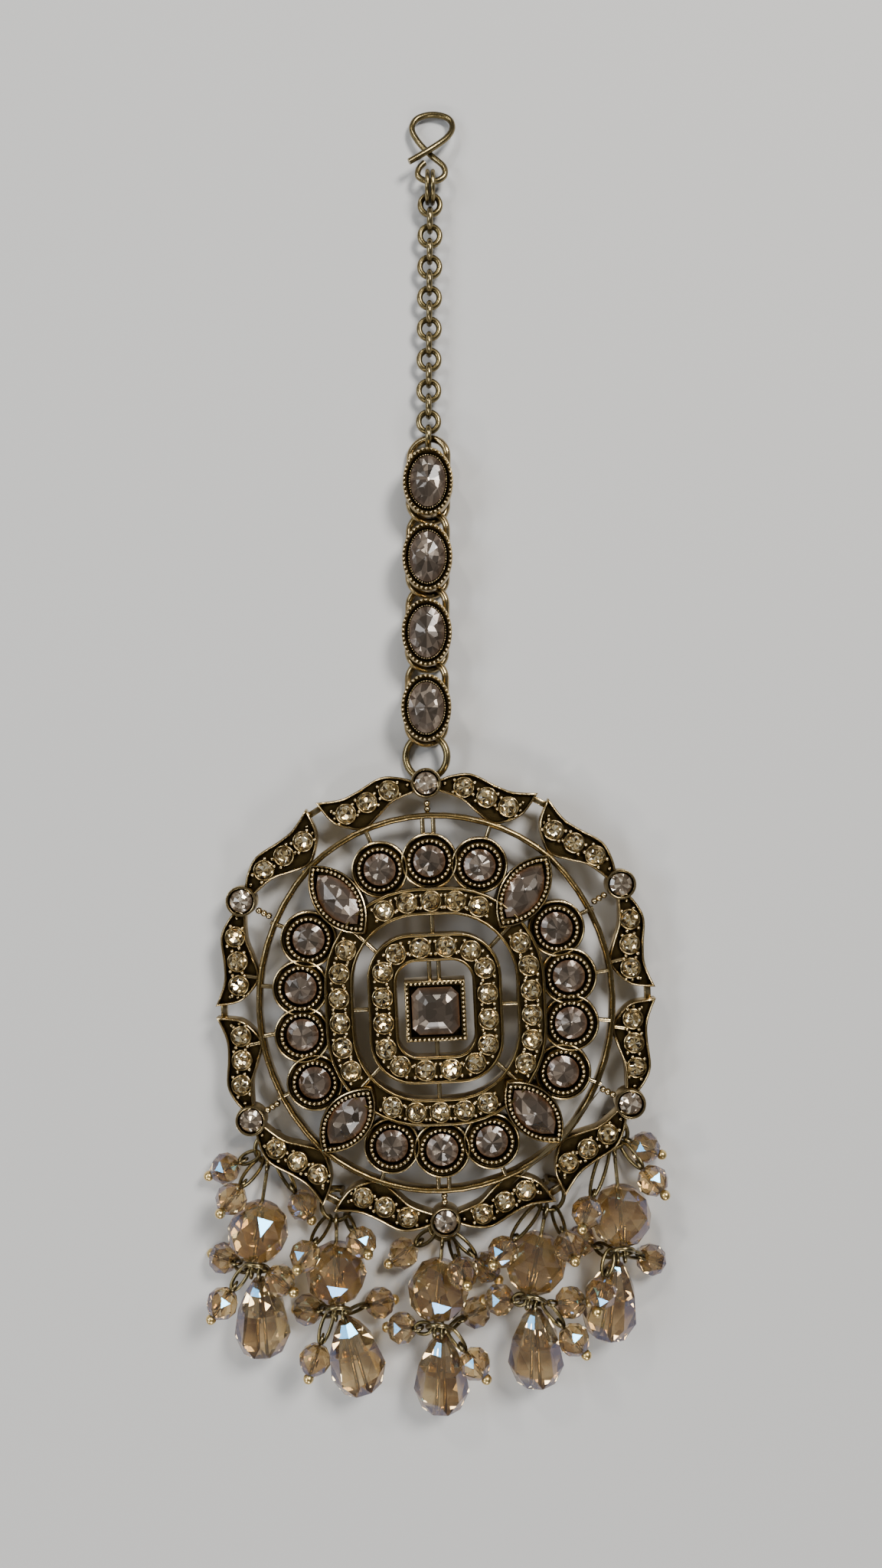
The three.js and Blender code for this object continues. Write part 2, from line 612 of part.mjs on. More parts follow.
function pendantFrame() {
  const parts = [];
  for (const angle of COLLET_ANGLES) {
    parts.push(collet(angle), leaf(angle, 1), leaf(angle, -1));
  }
  const wireTop = RIM_TOP + WIRE_LIFT;
  parts.push(prism(wireOutline(WIRE_WIDTH / 2), wireTop - WIRE_DEPTH, wireTop, wireOutline(-WIRE_WIDTH / 2)));
  // a short strip behind each pair of leaf tips, and one where a side leaf stands off the oval wire
  for (const angle of [0, 60, 120, 180, 240, 300]) {
    const [x, y] = drawnIn(polar(COLLET_ORBIT * TIP_REACH, angle));
    const [from, to] = [[0, -TIP_STRIP_LENGTH / 2], [0, TIP_STRIP_LENGTH / 2]];
    const strip = bar(from, to, TIP_STRIP_WIDTH, RIM_BACK, RIM_BACK + TIP_STRIP_DEPTH);
    parts.push(moved(strip, x, y, 0, angle));
  }
  for (const angle of SIDE_TIE_ANGLES) {
    const [from, to] = [polar(wireReach(angle), angle), polar(COLLET_ORBIT * LEAF_BELLY, angle)];
    parts.push(bar(from, to, BAR_WIDTH, RIM_TOP - BAR_DEPTH, RIM_TOP - BAR_SINK));
  }
  parts.push(...ROUND_SPOTS.map(([x, y]) => roundSetting(x, y)));
  parts.push(...mirrored(MARQUISE_X, MARQUISE_Y).map(([x, y]) => marquiseSetting(x, y)));
  parts.push(cushionRing(MIDDLE_RING, MIDDLE_LIFT), cushionRing(INNER_RING, INNER_LIFT));
  parts.push(squareSetting(), ...frameBars());
  parts.push(lug(90, STRAND_LUG_ORBIT, PENDANT_RING_WIRE, 90));
  DROP_LUGS.forEach(({ angle, reach }, i) => {
    parts.push(lug(angle, COLLET_ORBIT * reach, DROP_RING_WIRE, dropHeading(i) - PENDANT_TURN));
  });
  const whole = joined(parts);
  const roundSeat = ellipse(ROUND_STONE_RADIUS + STONE_GAP, ROUND_STONE_RADIUS + STONE_GAP, SETTING_SIDES);
  const colletSeat = ellipse(COLLET_STONE_RADIUS + STONE_GAP, COLLET_STONE_RADIUS + STONE_GAP, SETTING_SIDES);
  const seats = [
    ...ROUND_SPOTS.map(([x, y]) => seatCut(x, y, 0, roundSeat, ROUND_LIFT, SEAT_DEPTH)),
    ...mirrored(MARQUISE_X, MARQUISE_Y).map(([x, y]) => marquiseSeat(x, y)),
    ...COLLET_ANGLES.map((angle) => seatCut(
      ...polar(COLLET_ORBIT, angle), angle, colletSeat, COLLET_LIFT, COLLET_SEAT_DEPTH)),
  ];
  return seats.reduce((body, seat) => body.subtract(seat), whole);
}

function seatCut(x, y, turn, outline, lift, depth) {
  const top = RIM_TOP + lift;
  return moved(prism(outline, top - depth, top + SEAT_OPEN), x, y, 0, turn);
}

function marquiseSeat(x, y) {
  const length = MARQUISE_STONE_LENGTH + 3 * STONE_GAP;
  const outline = marquiseOutline(length, MARQUISE_STONE_WIDTH + 2 * STONE_GAP);
  return prism(outline, -SEAT_DEPTH, SEAT_OPEN).transform(marquiseFrame(x, y).elements);
}

function mirrored(x, y) {
  const spots = [[x, y], [-x, y], [x, -y], [-x, -y]];
  return spots.filter(([mx, my], i) => spots.findIndex(([px, py]) => px === mx && py === my) === i);
}

add(pendant, "pendant_frame", geometryOf(pendantFrame()), "metal");

function seatedStone(name, geometry, x, y, lift, depth) {
  const mesh = add(pendant, name, geometry, "stone");
  mesh.position.set(x, y, RIM_TOP + lift - depth + STONE_GAP);
}

ROUND_SPOTS.forEach(([x, y], i) => {
  const outline = ellipse(ROUND_STONE_RADIUS, ROUND_STONE_RADIUS, SETTING_SIDES);
  const stone = pointedStone(outline, STONE_HEIGHTS.round);
  seatedStone(`round_stone_${i + 1}`, stone, x, y, ROUND_LIFT, SEAT_DEPTH);
});
mirrored(MARQUISE_X, MARQUISE_Y).forEach(([x, y], i) => {
  const outline = marquiseOutline(MARQUISE_STONE_LENGTH, MARQUISE_STONE_WIDTH);
  const stone = pointedStone(outline, STONE_HEIGHTS.marquise).translate(0, 0, STONE_GAP - SEAT_DEPTH);
  add(pendant, `marquise_stone_${i + 1}`, stone, "stone").applyMatrix4(marquiseFrame(x, y));
});
COLLET_ANGLES.forEach((angle, i) => {
  const outline = ellipse(COLLET_STONE_RADIUS, COLLET_STONE_RADIUS, SETTING_SIDES);
  const [x, y] = polar(COLLET_ORBIT, angle);
  const stone = pointedStone(outline, STONE_HEIGHTS.collet);
  seatedStone(`collet_stone_${i + 1}`, stone, x, y, COLLET_LIFT, COLLET_SEAT_DEPTH);
});
{
  const [half, cut] = [SQUARE_STONE / 2, SQUARE_STONE / 2 - SQUARE_CORNER];
  const outline = [
    [half, -cut], [half, cut], [cut, half], [-cut, half], [-half, cut], [-half, -cut], [-cut, -half], [cut, -half],
  ];
  const stone = pointedStone(outline, STONE_HEIGHTS.centre);
  seatedStone("centre_stone", stone, 0, 0, SQUARE_LIFT, SQUARE_SEAT_DEPTH);
}

// Strand: pendant ring, four oval stone links, chain, two rings and the hook, upwards from the pendant

const [lugX, lugY] = polar(STRAND_LUG_ORBIT, 90 + PENDANT_TURN);
strand.position.set(lugX, lugY, STRAND_HEIGHT);
strand.rotation.z = rad(STRAND_TURN);

const ringCentre = (PENDANT_RING_DIAMETER - PENDANT_RING_WIRE) / 2;
const pendantRing = torus(PENDANT_RING_DIAMETER, PENDANT_RING_WIRE);
const pendantRingMesh = add(strand, "pendant_ring", geometryOf(pendantRing), "metal");
pendantRingMesh.position.y = ringCentre;
pendantRingMesh.rotation.y = rad(-OVAL_LINK_TWIST);

// Stadium link of round wire whose two bows are turned opposite ways about the strand
function ovalLink() {
  const stretch = (OVAL_LINK_LENGTH - OVAL_LINK_WIDTH) / 2;
  const radius = (OVAL_LINK_WIDTH - OVAL_LINK_WIRE) / 2;
  const geometry = new THREE.TorusGeometry(radius, OVAL_LINK_WIRE / 2, WIRE_SIDES, OVAL_SIDES);
  geometry.rotateZ(Math.PI / OVAL_SIDES);
  const position = geometry.attributes.position;
  const slope = Math.tan(rad(OVAL_LINK_TWIST));
  for (let i = 0; i < position.count; i += 1) {
    const x = position.getX(i);
    const y = position.getY(i) + Math.sign(position.getY(i)) * stretch;
    const turn = THREE.MathUtils.clamp(y / (OVAL_LINK_LENGTH * 0.3), -1, 1);
    position.setXYZ(i, x, y, position.getZ(i) + x * slope * turn);
  }
  return solidOf(geometry);
}

function ovalSetting() {
  const bottom = OVAL_CUP_LIFT;
  const top = bottom + OVAL_CUP_DEPTH;
  const half = OVAL_CUP_WIDTH / 2;
  const outer = lathe([
    [0, bottom],
    [half, bottom],
    [half, top - OVAL_EDGE_FALL],
    [half - OVAL_EDGE_WIDTH, top],
    [0, top],
  ], OVAL_SIDES).scale([1, OVAL_CUP_LENGTH / OVAL_CUP_WIDTH, 1]);
  const seat = ellipse(OVAL_STONE_WIDTH / 2 + STONE_GAP, OVAL_STONE_LENGTH / 2 + STONE_GAP, OVAL_SIDES);
  const cup = outer.subtract(prism(seat, top - OVAL_SEAT_DEPTH, top + 1));
  const reach = (OVAL_LINK_WIDTH - OVAL_LINK_WIRE) / 2;
  const solder = bar([-reach, 0], [reach, 0], SOLDER_LENGTH, -BAR_ROOT, bottom + FUSE);
  return joined([ovalLink(), moved(cup.add(solder), 0, -OVAL_CUP_SHIFT, 0)]);
}

const ringTop = ringCentre + PENDANT_RING_DIAMETER / 2;
const bowOverlap = OVAL_LINK_WIRE + PENDANT_RING_WIRE + LOOSE;
const ovalPitch = OVAL_LINK_LENGTH - 2 * OVAL_LINK_WIRE - LOOSE;
const firstLinkCentre = ringTop - bowOverlap + OVAL_LINK_LENGTH / 2;
for (let i = 0; i < OVAL_COUNT; i += 1) {
  const centre = firstLinkCentre + (OVAL_COUNT - 1 - i) * ovalPitch;
  const setting = add(strand, `oval_setting_${i + 1}`, geometryOf(ovalSetting()), "metal");
  setting.position.y = centre;
  const outline = ellipse(OVAL_STONE_WIDTH / 2, OVAL_STONE_LENGTH / 2, OVAL_SIDES);
  const stone = add(strand, `oval_stone_${i + 1}`, pointedStone(outline, STONE_HEIGHTS.oval), "stone");
  const table = OVAL_CUP_LIFT + OVAL_CUP_DEPTH - OVAL_SEAT_DEPTH + STONE_GAP;
  stone.position.set(0, centre - OVAL_CUP_SHIFT, table);
}

// Rolo chain: round links, each turned a quarter from the last, soldered where they touch
const chainPitch = CHAIN_LINK_DIAMETER - 2 * CHAIN_WIRE + FUSE;
const firstBowTop = firstLinkCentre + (OVAL_COUNT - 1) * ovalPitch + OVAL_LINK_LENGTH / 2;
const chainStart = firstBowTop - OVAL_LINK_WIRE - CHAIN_WIRE - LOOSE + CHAIN_LINK_DIAMETER / 2;

function chainLinks() {
  const flat = torus(CHAIN_LINK_DIAMETER, CHAIN_WIRE);
  const upright = torus(CHAIN_LINK_DIAMETER, CHAIN_WIRE, true);
  const links = [];
  for (let i = 0; i < 2 * CHAIN_FLAT_LINKS; i += 1) {
    links.push(moved(i % 2 ? flat : upright, 0, chainStart + i * chainPitch, 0));
  }
  return joined(links);
}

const chain = add(strand, "chain", geometryOf(chainLinks()), "metal");
chain.position.z = CHAIN_LINK_DIAMETER / 2 + FLOOR_GAP - STRAND_HEIGHT;

const chainTop = chainStart + (2 * CHAIN_FLAT_LINKS - 1) * chainPitch + CHAIN_LINK_DIAMETER / 2;
const hookRingCentre = chainTop - CHAIN_WIRE - HOOK_RING_WIRE - LOOSE + HOOK_RING_DIAMETER / 2;
const hookRing = torus(HOOK_RING_DIAMETER, HOOK_RING_WIRE, true);
const ringStep = (HOOK_RING_WIRE - FUSE / 2) / 2;
const hookRings = add(strand, "hook_rings", geometryOf(
  moved(hookRing, -ringStep, 0, 0).add(moved(hookRing, ringStep, 0, 0))), "metal");
hookRings.position.set(0, hookRingCentre, HOOK_RING_DIAMETER / 2 + FLOOR_GAP - STRAND_HEIGHT);

// Hook: one wire, from its free end up round the big bend, over itself and round the small eye.
// Columns are x and y from the crossing, as shares of the hook's length, and the height over the
// lower strand as a share of the wire.
const HOOK_PATH = [
  { x: -0.28, y: -0.15, over: 1.1875 },
  { x: 0.01, y: 0.04, over: 1.1875 },
  { x: 0.22, y: 0.24, over: 0.6875 },
  { x: 0.29, y: 0.42, over: 0.25 },
  { x: 0.22, y: 0.56, over: 0.0625 },
  { x: 0.02, y: 0.61, over: 0 },
  { x: -0.18, y: 0.55, over: 0 },
  { x: -0.25, y: 0.4, over: 0 },
  { x: -0.17, y: 0.22, over: 0 },
  { x: 0.01, y: 0.01, over: 0 },
  { x: 0.17, y: -0.14, over: 0 },
  { x: 0.19, y: -0.27, over: 0 },
  { x: 0.09, y: -0.355, over: 0 },
  { x: -0.05, y: -0.36, over: 0 },
  { x: -0.16, y: -0.29, over: 0 },
  { x: -0.15, y: -0.18, over: 0 },
  { x: -0.08, y: -0.095, over: 0 },
];

function hookWire() {
  const curve = new THREE.CatmullRomCurve3(HOOK_PATH.map(({ x, y, over }) => new THREE.Vector3(
    x * HOOK_LENGTH, y * HOOK_LENGTH, over * HOOK_WIRE)));
  const round = ellipse(HOOK_WIRE / 2, HOOK_WIRE / 2, 6);
  const section = new THREE.Shape(round.map(([x, y]) => new THREE.Vector2(x, y)));
  return solidOf(new THREE.ExtrudeGeometry(section, { steps: 28, bevelEnabled: false, extrudePath: curve }));
}

const eyeBottom = Math.min(...HOOK_PATH.map(({ y }) => y)) * HOOK_LENGTH;
const hook = add(strand, "hook", geometryOf(hookWire()), "metal");
const hookRingTop = hookRingCentre + HOOK_RING_DIAMETER / 2;
const hookCrossing = hookRingTop - HOOK_RING_WIRE - LOOSE - HOOK_WIRE / 2 - eyeBottom;
hook.position.set(0, hookCrossing, HOOK_LIFT - HOOK_SINK - STRAND_HEIGHT);
hook.rotation.x = -Math.atan2(HOOK_LIFT - HOOK_TIP_LIFT, HOOK_SPAN);

// Bead drops

const SMALL_RADIUS = SMALL_BEAD_DIAMETER / 2;
const BEAD_RADIUS = BEAD_DIAMETER / 2;
const TEARDROP_RADIUS = TEARDROP_WIDTH / 2;
const eyeRadius = (EYE_DIAMETER - PIN_WIRE) / 2;
const CLEAR = 0.2; // play between two round things that lie side by side
const teardropHeight = TEARDROP_RADIUS + 0.55; // its blunt end dips to the floor

// Cut bead along +Z: rows of facets between two flat ends, and each row's half width
function cutBead(diameter, length, rows) {
  const radius = diameter / 2;
  const half = length / 2;
  const profile = [[0, -half], ...rows.map(({ wide, along }) => [radius * wide, half * along]), [0, half]];
  return lathe(profile, BEAD_SIDES);
}

const BEAD_ROWS = [
  { wide: 0.45, along: -1 },
  { wide: 0.97, along: -0.3 },
  { wide: 0.97, along: 0.3 },
  { wide: 0.45, along: 1 },
];
const SMALL_ROWS = [
  { wide: 0.55, along: -1 },
  { wide: 1, along: 0 },
  { wide: 0.55, along: 1 },
];
const TEARDROP_ROWS = [
  { wide: 0.45, along: -1 },
  { wide: 1, along: -0.4 },
  { wide: 0.8, along: 0.3 },
  { wide: 0.3, along: 1 },
];

function eye(centre, across, along) {
  const second = new THREE.Vector3().crossVectors(along, across).normalize();
  return framed(torus(EYE_DIAMETER, PIN_WIRE, false, EYE_SIDES, PIN_SIDES), centre, along, second, across);
}

function aligned(solid, centre, along) {
  const turn = new THREE.Quaternion().setFromUnitVectors(new THREE.Vector3(0, 0, 1), along);
  const matrix = new THREE.Matrix4().compose(centre, turn, new THREE.Vector3(1, 1, 1));
  return solid.transform(matrix.elements);
}

// Height at which a small bead comes to rest on the floor or on the round things already there
function restingHeight(x, y, placed) {
  let height = SMALL_RADIUS + FLOOR_GAP;
  for (const ball of placed) {
    const reach = SMALL_RADIUS + ball.radius + CLEAR;
    const apart = Math.hypot(x - ball.at.x, y - ball.at.y);
    if (apart < reach) {
      const rise = Math.sqrt(reach ** 2 - apart ** 2);
      if (ball.at.z - rise < height) {
        height = Math.max(height, ball.at.z + rise);
      }
    }
  }
  return height;
}

function nearestOnRing(ringAt, point) {
  const away = new THREE.Vector3().subVectors(point, ringAt.centre);
  away.addScaledVector(ringAt.normal, -away.dot(ringAt.normal));
  return ringAt.centre.clone().addScaledVector(away.normalize(), ringAt.radius);
}

function ringWithBeads(ringAt, diameter, beads, placed) {
  const seconds = new THREE.Vector3().crossVectors(ringAt.normal, ringAt.along);
  const ring = framed(torus(diameter, DROP_RING_WIRE), ringAt.centre, ringAt.along, seconds, ringAt.normal);
  const solids = [ring];
  for (const { x, y } of beads) {
    const centre = new THREE.Vector3(x, y, restingHeight(x, y, placed));
    placed.push({ at: centre, radius: SMALL_RADIUS });
    const hold = nearestOnRing(ringAt, centre);
    const along = new THREE.Vector3().subVectors(centre, hold).normalize();
    const bead = cutBead(SMALL_BEAD_DIAMETER, SMALL_BEAD_LENGTH, SMALL_ROWS);
    solids.push(aligned(bead, centre, along), stick(hold, centre, PIN_WIRE));
  }
  return joined(solids);
}

function raised(direction, upwards, degrees) {
  return direction.clone().multiplyScalar(Math.cos(rad(degrees))).addScaledVector(upwards, Math.sin(rad(degrees)));
}

const placed = [];
const dropFrames = DROPS.map(({ bead, heading, side }, i) => {
  const { angle, reach } = DROP_LUGS[i];
  const [lx, ly] = polar(COLLET_ORBIT * reach, angle + PENDANT_TURN);
  const up = new THREE.Vector3(0, 0, 1);
  const start = new THREE.Vector3(lx, ly, LUG_BASE + DROP_RING_WIRE / 2 + RING_HOLD);
  const plan = new THREE.Vector3(bead.x - lx, bead.y - ly, 0).normalize();
  const rise = raised(plan, up, DROP_RING_TILT);
  const across = new THREE.Vector3().crossVectors(plan, up);
  const radius = (DROP_RING_DIAMETER - DROP_RING_WIRE) / 2;
  const upperRing = {
    centre: start.clone().addScaledVector(rise, radius),
    along: rise,
    normal: new THREE.Vector3().crossVectors(rise, across).normalize(),
    radius,
  };
  const play = (EYE_DIAMETER / 2 - PIN_WIRE - DROP_RING_WIRE / 2) / 2;
  const topEye = start.clone().addScaledVector(rise, 2 * radius + play);
  const beadAt = new THREE.Vector3(bead.x, bead.y, BEAD_RADIUS + FLOOR_GAP);
  const axis = new THREE.Vector3().subVectors(beadAt, topEye).normalize();
  const lowEye = beadAt.clone().addScaledVector(axis, BEAD_LENGTH / 2 + EYE_NECK + eyeRadius);
  const dropEye = lowEye.clone().addScaledVector(across, side * EYE_STEP);
  const reachDown = TEARDROP_LENGTH / 2 + EYE_NECK + eyeRadius;
  const fall = dropEye.z - teardropHeight;
  const planReach = Math.sqrt(reachDown ** 2 - fall ** 2);
  const [hx, hy] = polar(planReach, heading);
  const teardropAt = new THREE.Vector3(dropEye.x + hx, dropEye.y + hy, teardropHeight);
  const dropAxis = new THREE.Vector3().subVectors(dropEye, teardropAt).normalize();
  const lean = raised(up, plan, -LOWER_RING_LEAN);
  const lowerRadius = (LOWER_RING_DIAMETER - DROP_RING_WIRE) / 2;
  const lowerRing = {
    centre: lowEye.clone().lerp(dropEye, 0.5).addScaledVector(lean, lowerRadius + play * 0.6),
    along: lean,
    normal: new THREE.Vector3().crossVectors(lean, across).normalize(),
    radius: lowerRadius,
  };
  placed.push(
    { at: beadAt, radius: BEAD_RADIUS },
    { at: teardropAt, radius: TEARDROP_RADIUS },
    { at: teardropAt.clone().addScaledVector(dropAxis, TEARDROP_LENGTH * 0.3), radius: TEARDROP_RADIUS * 0.7 },
    { at: topEye, radius: EYE_DIAMETER / 2 },
    { at: lowEye, radius: EYE_DIAMETER / 2 },
    { at: dropEye, radius: EYE_DIAMETER / 2 },
  );
  return { upperRing, lowerRing, topEye, lowEye, dropEye, beadAt, teardropAt, axis, dropAxis, across };
});

DROPS.forEach(({ upper, lower }, i) => {
  const at = dropFrames[i];
  const number = i + 1;
  add(tikka, `drop_ring_${number}`, geometryOf(
    ringWithBeads(at.upperRing, DROP_RING_DIAMETER, upper, placed)), "crystal");
  const bead = joined([
    aligned(cutBead(BEAD_DIAMETER, BEAD_LENGTH, BEAD_ROWS), at.beadAt, at.axis),
    eye(at.topEye, at.across, at.axis),
    eye(at.lowEye, at.across, at.axis),
    stick(at.topEye.clone().addScaledVector(at.axis, eyeRadius), at.beadAt, PIN_WIRE),
    stick(at.beadAt, at.lowEye.clone().addScaledVector(at.axis, -eyeRadius), PIN_WIRE),
  ]);
  add(tikka, `bead_${number}`, geometryOf(bead), "crystal");
  add(tikka, `lower_ring_${number}`, geometryOf(
    ringWithBeads(at.lowerRing, LOWER_RING_DIAMETER, lower, placed)), "crystal");
  const teardrop = joined([
    aligned(cutBead(TEARDROP_WIDTH, TEARDROP_LENGTH, TEARDROP_ROWS), at.teardropAt, at.dropAxis),
    eye(at.dropEye, at.across, at.dropAxis),
    stick(at.teardropAt, at.dropEye.clone().addScaledVector(at.dropAxis, -eyeRadius), PIN_WIRE),
  ]);
  add(tikka, `teardrop_${number}`, geometryOf(teardrop), "crystal");
});

// The origin is the middle of the whole piece on the floor
tikka.updateMatrixWorld(true);
const box = new THREE.Box3().setFromObject(tikka, true);
tikka.position.set(-(box.min.x + box.max.x) / 2, -(box.min.y + box.max.y) / 2, -box.min.z);

export default tikka;
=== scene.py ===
import math
import random

import bmesh
import bpy
from mathutils import Matrix, Vector


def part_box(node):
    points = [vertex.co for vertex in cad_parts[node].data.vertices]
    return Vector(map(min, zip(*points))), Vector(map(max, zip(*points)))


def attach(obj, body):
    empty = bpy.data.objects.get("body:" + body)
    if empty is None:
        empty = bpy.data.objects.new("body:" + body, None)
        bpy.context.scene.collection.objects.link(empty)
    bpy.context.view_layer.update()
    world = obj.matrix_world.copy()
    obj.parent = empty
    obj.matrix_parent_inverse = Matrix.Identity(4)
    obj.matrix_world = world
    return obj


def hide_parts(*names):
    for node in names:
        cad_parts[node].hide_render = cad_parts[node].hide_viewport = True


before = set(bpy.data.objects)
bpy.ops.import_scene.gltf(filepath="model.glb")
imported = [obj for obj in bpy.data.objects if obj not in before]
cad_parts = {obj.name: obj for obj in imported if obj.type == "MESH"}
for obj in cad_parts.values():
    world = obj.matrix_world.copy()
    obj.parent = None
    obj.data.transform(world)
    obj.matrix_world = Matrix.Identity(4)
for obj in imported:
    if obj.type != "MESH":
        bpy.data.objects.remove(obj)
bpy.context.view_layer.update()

# The pendant's rim: twelve leaves in pairs between six collets, part of one brass casting.
# Each leaf is a plate with a raised edge round a sunk field that holds three small stones.
# The casting is plated in antique gold; its colour is darkened in its hollows as painted shade and
# brightened on its edges as painted highlight.
MM = 0.001
stone_low, stone_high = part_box("centre_stone")
heart = (Vector(stone_low) + Vector(stone_high)) / 2
PENDANT_TURN = 2.57  # degrees that it lies turned from the strand
pendant_place = (
    Matrix.Translation((heart.x, heart.y, 0))
    @ Matrix.Rotation(math.radians(PENDANT_TURN), 4, "Z")
    @ Matrix.Scale(MM, 4)
)
RIM_BACK = 2.75
RIM_TOP = 4.85
COLLET_ORBIT = 28.5
COLLET_RADIUS = 2.0
COLLET_LIFT = 0.3
COLLET_ANGLES = (90, 30, -30, -90, -150, 150)


def polar(radius, degrees, height=0.0):
    angle = math.radians(degrees)
    return Vector((radius * math.cos(angle), radius * math.sin(angle), height))


def turned(degrees, at=(0, 0, 0)):
    return Matrix.Translation(at) @ Matrix.Rotation(math.radians(degrees), 4, "Z")


def flowing(points, steps=4):
    """A smooth run of points through the given ones."""
    run = []
    padded = [points[0], *points, points[-1]]
    for a, b, c, d in zip(padded, padded[1:], padded[2:], padded[3:]):
        bend, twist = 2 * a - 5 * b + 4 * c - d, 3 * b - a - 3 * c + d
        for i in range(steps):
            t = i / steps
            run.append(0.5 * (2 * b + (c - a) * t + bend * t**2 + twist * t**3))
    return [*run, points[-1]]


def kept(bm):
    """Turns a finished shape into a template that can be set in many places."""
    bmesh.ops.recalc_face_normals(bm, faces=bm.faces[:])
    template = bpy.data.meshes.new("template")
    bm.to_mesh(template)
    bm.free()
    return template


def cast_cup(outline, bottom, top, steps):
    """A plate on that outline, whose top is worked by steps: how far inwards and how far up."""
    bm = bmesh.new()
    base = bm.faces.new([bm.verts.new((point[0], point[1], bottom)) for point in outline])
    raised = bmesh.ops.extrude_face_region(bm, geom=[base])["geom"]
    face = next(item for item in raised if isinstance(item, bmesh.types.BMFace))
    bmesh.ops.translate(bm, verts=face.verts[:], vec=(0, 0, top - bottom))
    face.normal_update()
    if face.normal.z < 0:
        face.normal_flip()
    for inwards, upwards in steps:
        bmesh.ops.inset_region(
            bm, faces=[face], thickness=inwards, depth=upwards, use_even_offset=True, use_boundary=True
        )
    return kept(bm)


def set_in(bm, template, place):
    copy = template.copy()
    copy.transform(place)
    bm.from_mesh(copy)
    bpy.data.meshes.remove(copy)


def circle(radius, sides, radius_y=None):
    """A circle, or an oval where a second radius is given."""
    tall = radius if radius_y is None else radius_y
    return [
        Vector((radius * math.cos(2 * math.pi * i / sides), tall * math.sin(2 * math.pi * i / sides), 0))
        for i in range(sides)
    ]


def grain_template(radius):
    bm = bmesh.new()
    bmesh.ops.create_uvsphere(bm, u_segments=8, v_segments=5, radius=radius)
    return kept(bm)


class Finish:
    """A material that is put together from nodes round its surface shader."""

    def __init__(self, name, values):
        self.material = bpy.data.materials.new(name)
        self.material.use_nodes = True
        self.nodes = self.material.node_tree.nodes
        self.shader = self.nodes["Principled BSDF"]
        self.fill(self.shader, values)

    def fill(self, node, values):
        for entry, value in values.items():
            node.inputs[entry].default_value = value

    def add(self, kind, values=None, operation=None):
        """A new node of that kind, with its operation and the values of its inputs."""
        node = self.nodes.new("ShaderNode" + kind)
        if operation:
            node.operation = operation
        self.fill(node, values or {})
        return node

    def ramp(self, shades):
        """A ramp through colours, each with its place on it."""
        ramp = self.add("ValToRGB")
        first, last = ramp.color_ramp.elements
        first.position, first.color = shades[0][0], (*shades[0][1], 1)
        last.position, last.color = shades[-1][0], (*shades[-1][1], 1)
        for position, colour in shades[1:-1]:
            ramp.color_ramp.elements.new(position).color = (*colour, 1)
        return ramp

    def join(self, *wires):
        """Each wire runs from an output of one node to an input of another."""
        for source, output, target, entry in wires:
            self.material.node_tree.links.new(source.outputs[output], target.inputs[entry])


PAINTED_SHADE_SAMPLES = 6


def gold_with_painted_shade(name, hollow_shade_colour, mid, bright, shade_reach=0.0009, rough=0.13, edge_highlight=0.38):
    """Plated metal: painted shade darkens its hollows, a painted highlight brightens where it stands out,
    and it is a little mottled.
    """
    finish = Finish(name, {"Metallic": 1.0})
    place = finish.add("TexCoord")
    mottle = finish.add("TexNoise", {"Scale": 1400, "Detail": 4})
    # Ambient occlusion darkens the colour in the hollows: painted shade.
    hollow_shade = finish.add("AmbientOcclusion", {"Distance": shade_reach})
    hollow_shade.samples = PAINTED_SHADE_SAMPLES
    form = finish.add("NewGeometry")
    # Pointiness brightens the colour on convex edges: painted highlight.
    edges = finish.add("MapRange", {"From Min": 0.49, "From Max": 0.58, "To Max": edge_highlight})
    unshaded_share = finish.add("Math", {1: 2.0}, "POWER")
    shade_and_edge_light = finish.add("Math", {1: 0.3}, "MULTIPLY_ADD")
    mottle_shade_and_highlight = finish.add("Math", {1: 0.19}, "MULTIPLY_ADD")
    # The ramp runs from the painted shade colour of the hollows, through the metal's own tone, to the
    # painted highlight colour of the edges.
    ramp = finish.ramp(((0.14, hollow_shade_colour), (0.56, mid), (0.98, bright)))
    dull = rough + 0.3
    sheen = finish.add("MapRange", {"From Min": 0.2, "From Max": 0.9, "To Min": dull, "To Max": rough})
    grit = finish.add("TexNoise", {"Scale": 5200})
    bump = finish.add("Bump", {"Strength": 0.3, "Distance": 0.00006})
    finish.join(
        (place, "Object", mottle, "Vector"), (place, "Object", grit, "Vector"),
        (form, "Pointiness", edges, "Value"), (hollow_shade, "AO", unshaded_share, 0),
        (unshaded_share, 0, shade_and_edge_light, 0), (edges, "Result", shade_and_edge_light, 2),
        (mottle, "Fac", mottle_shade_and_highlight, 0), (shade_and_edge_light, 0, mottle_shade_and_highlight, 2),
        (mottle_shade_and_highlight, 0, ramp, "Fac"), (mottle_shade_and_highlight, 0, sheen, "Value"),
        (ramp, "Color", finish.shader, "Base Color"), (sheen, "Result", finish.shader, "Roughness"),
        (grit, "Fac", bump, "Height"), (bump, "Normal", finish.shader, "Normal"),
    )
    return finish.material


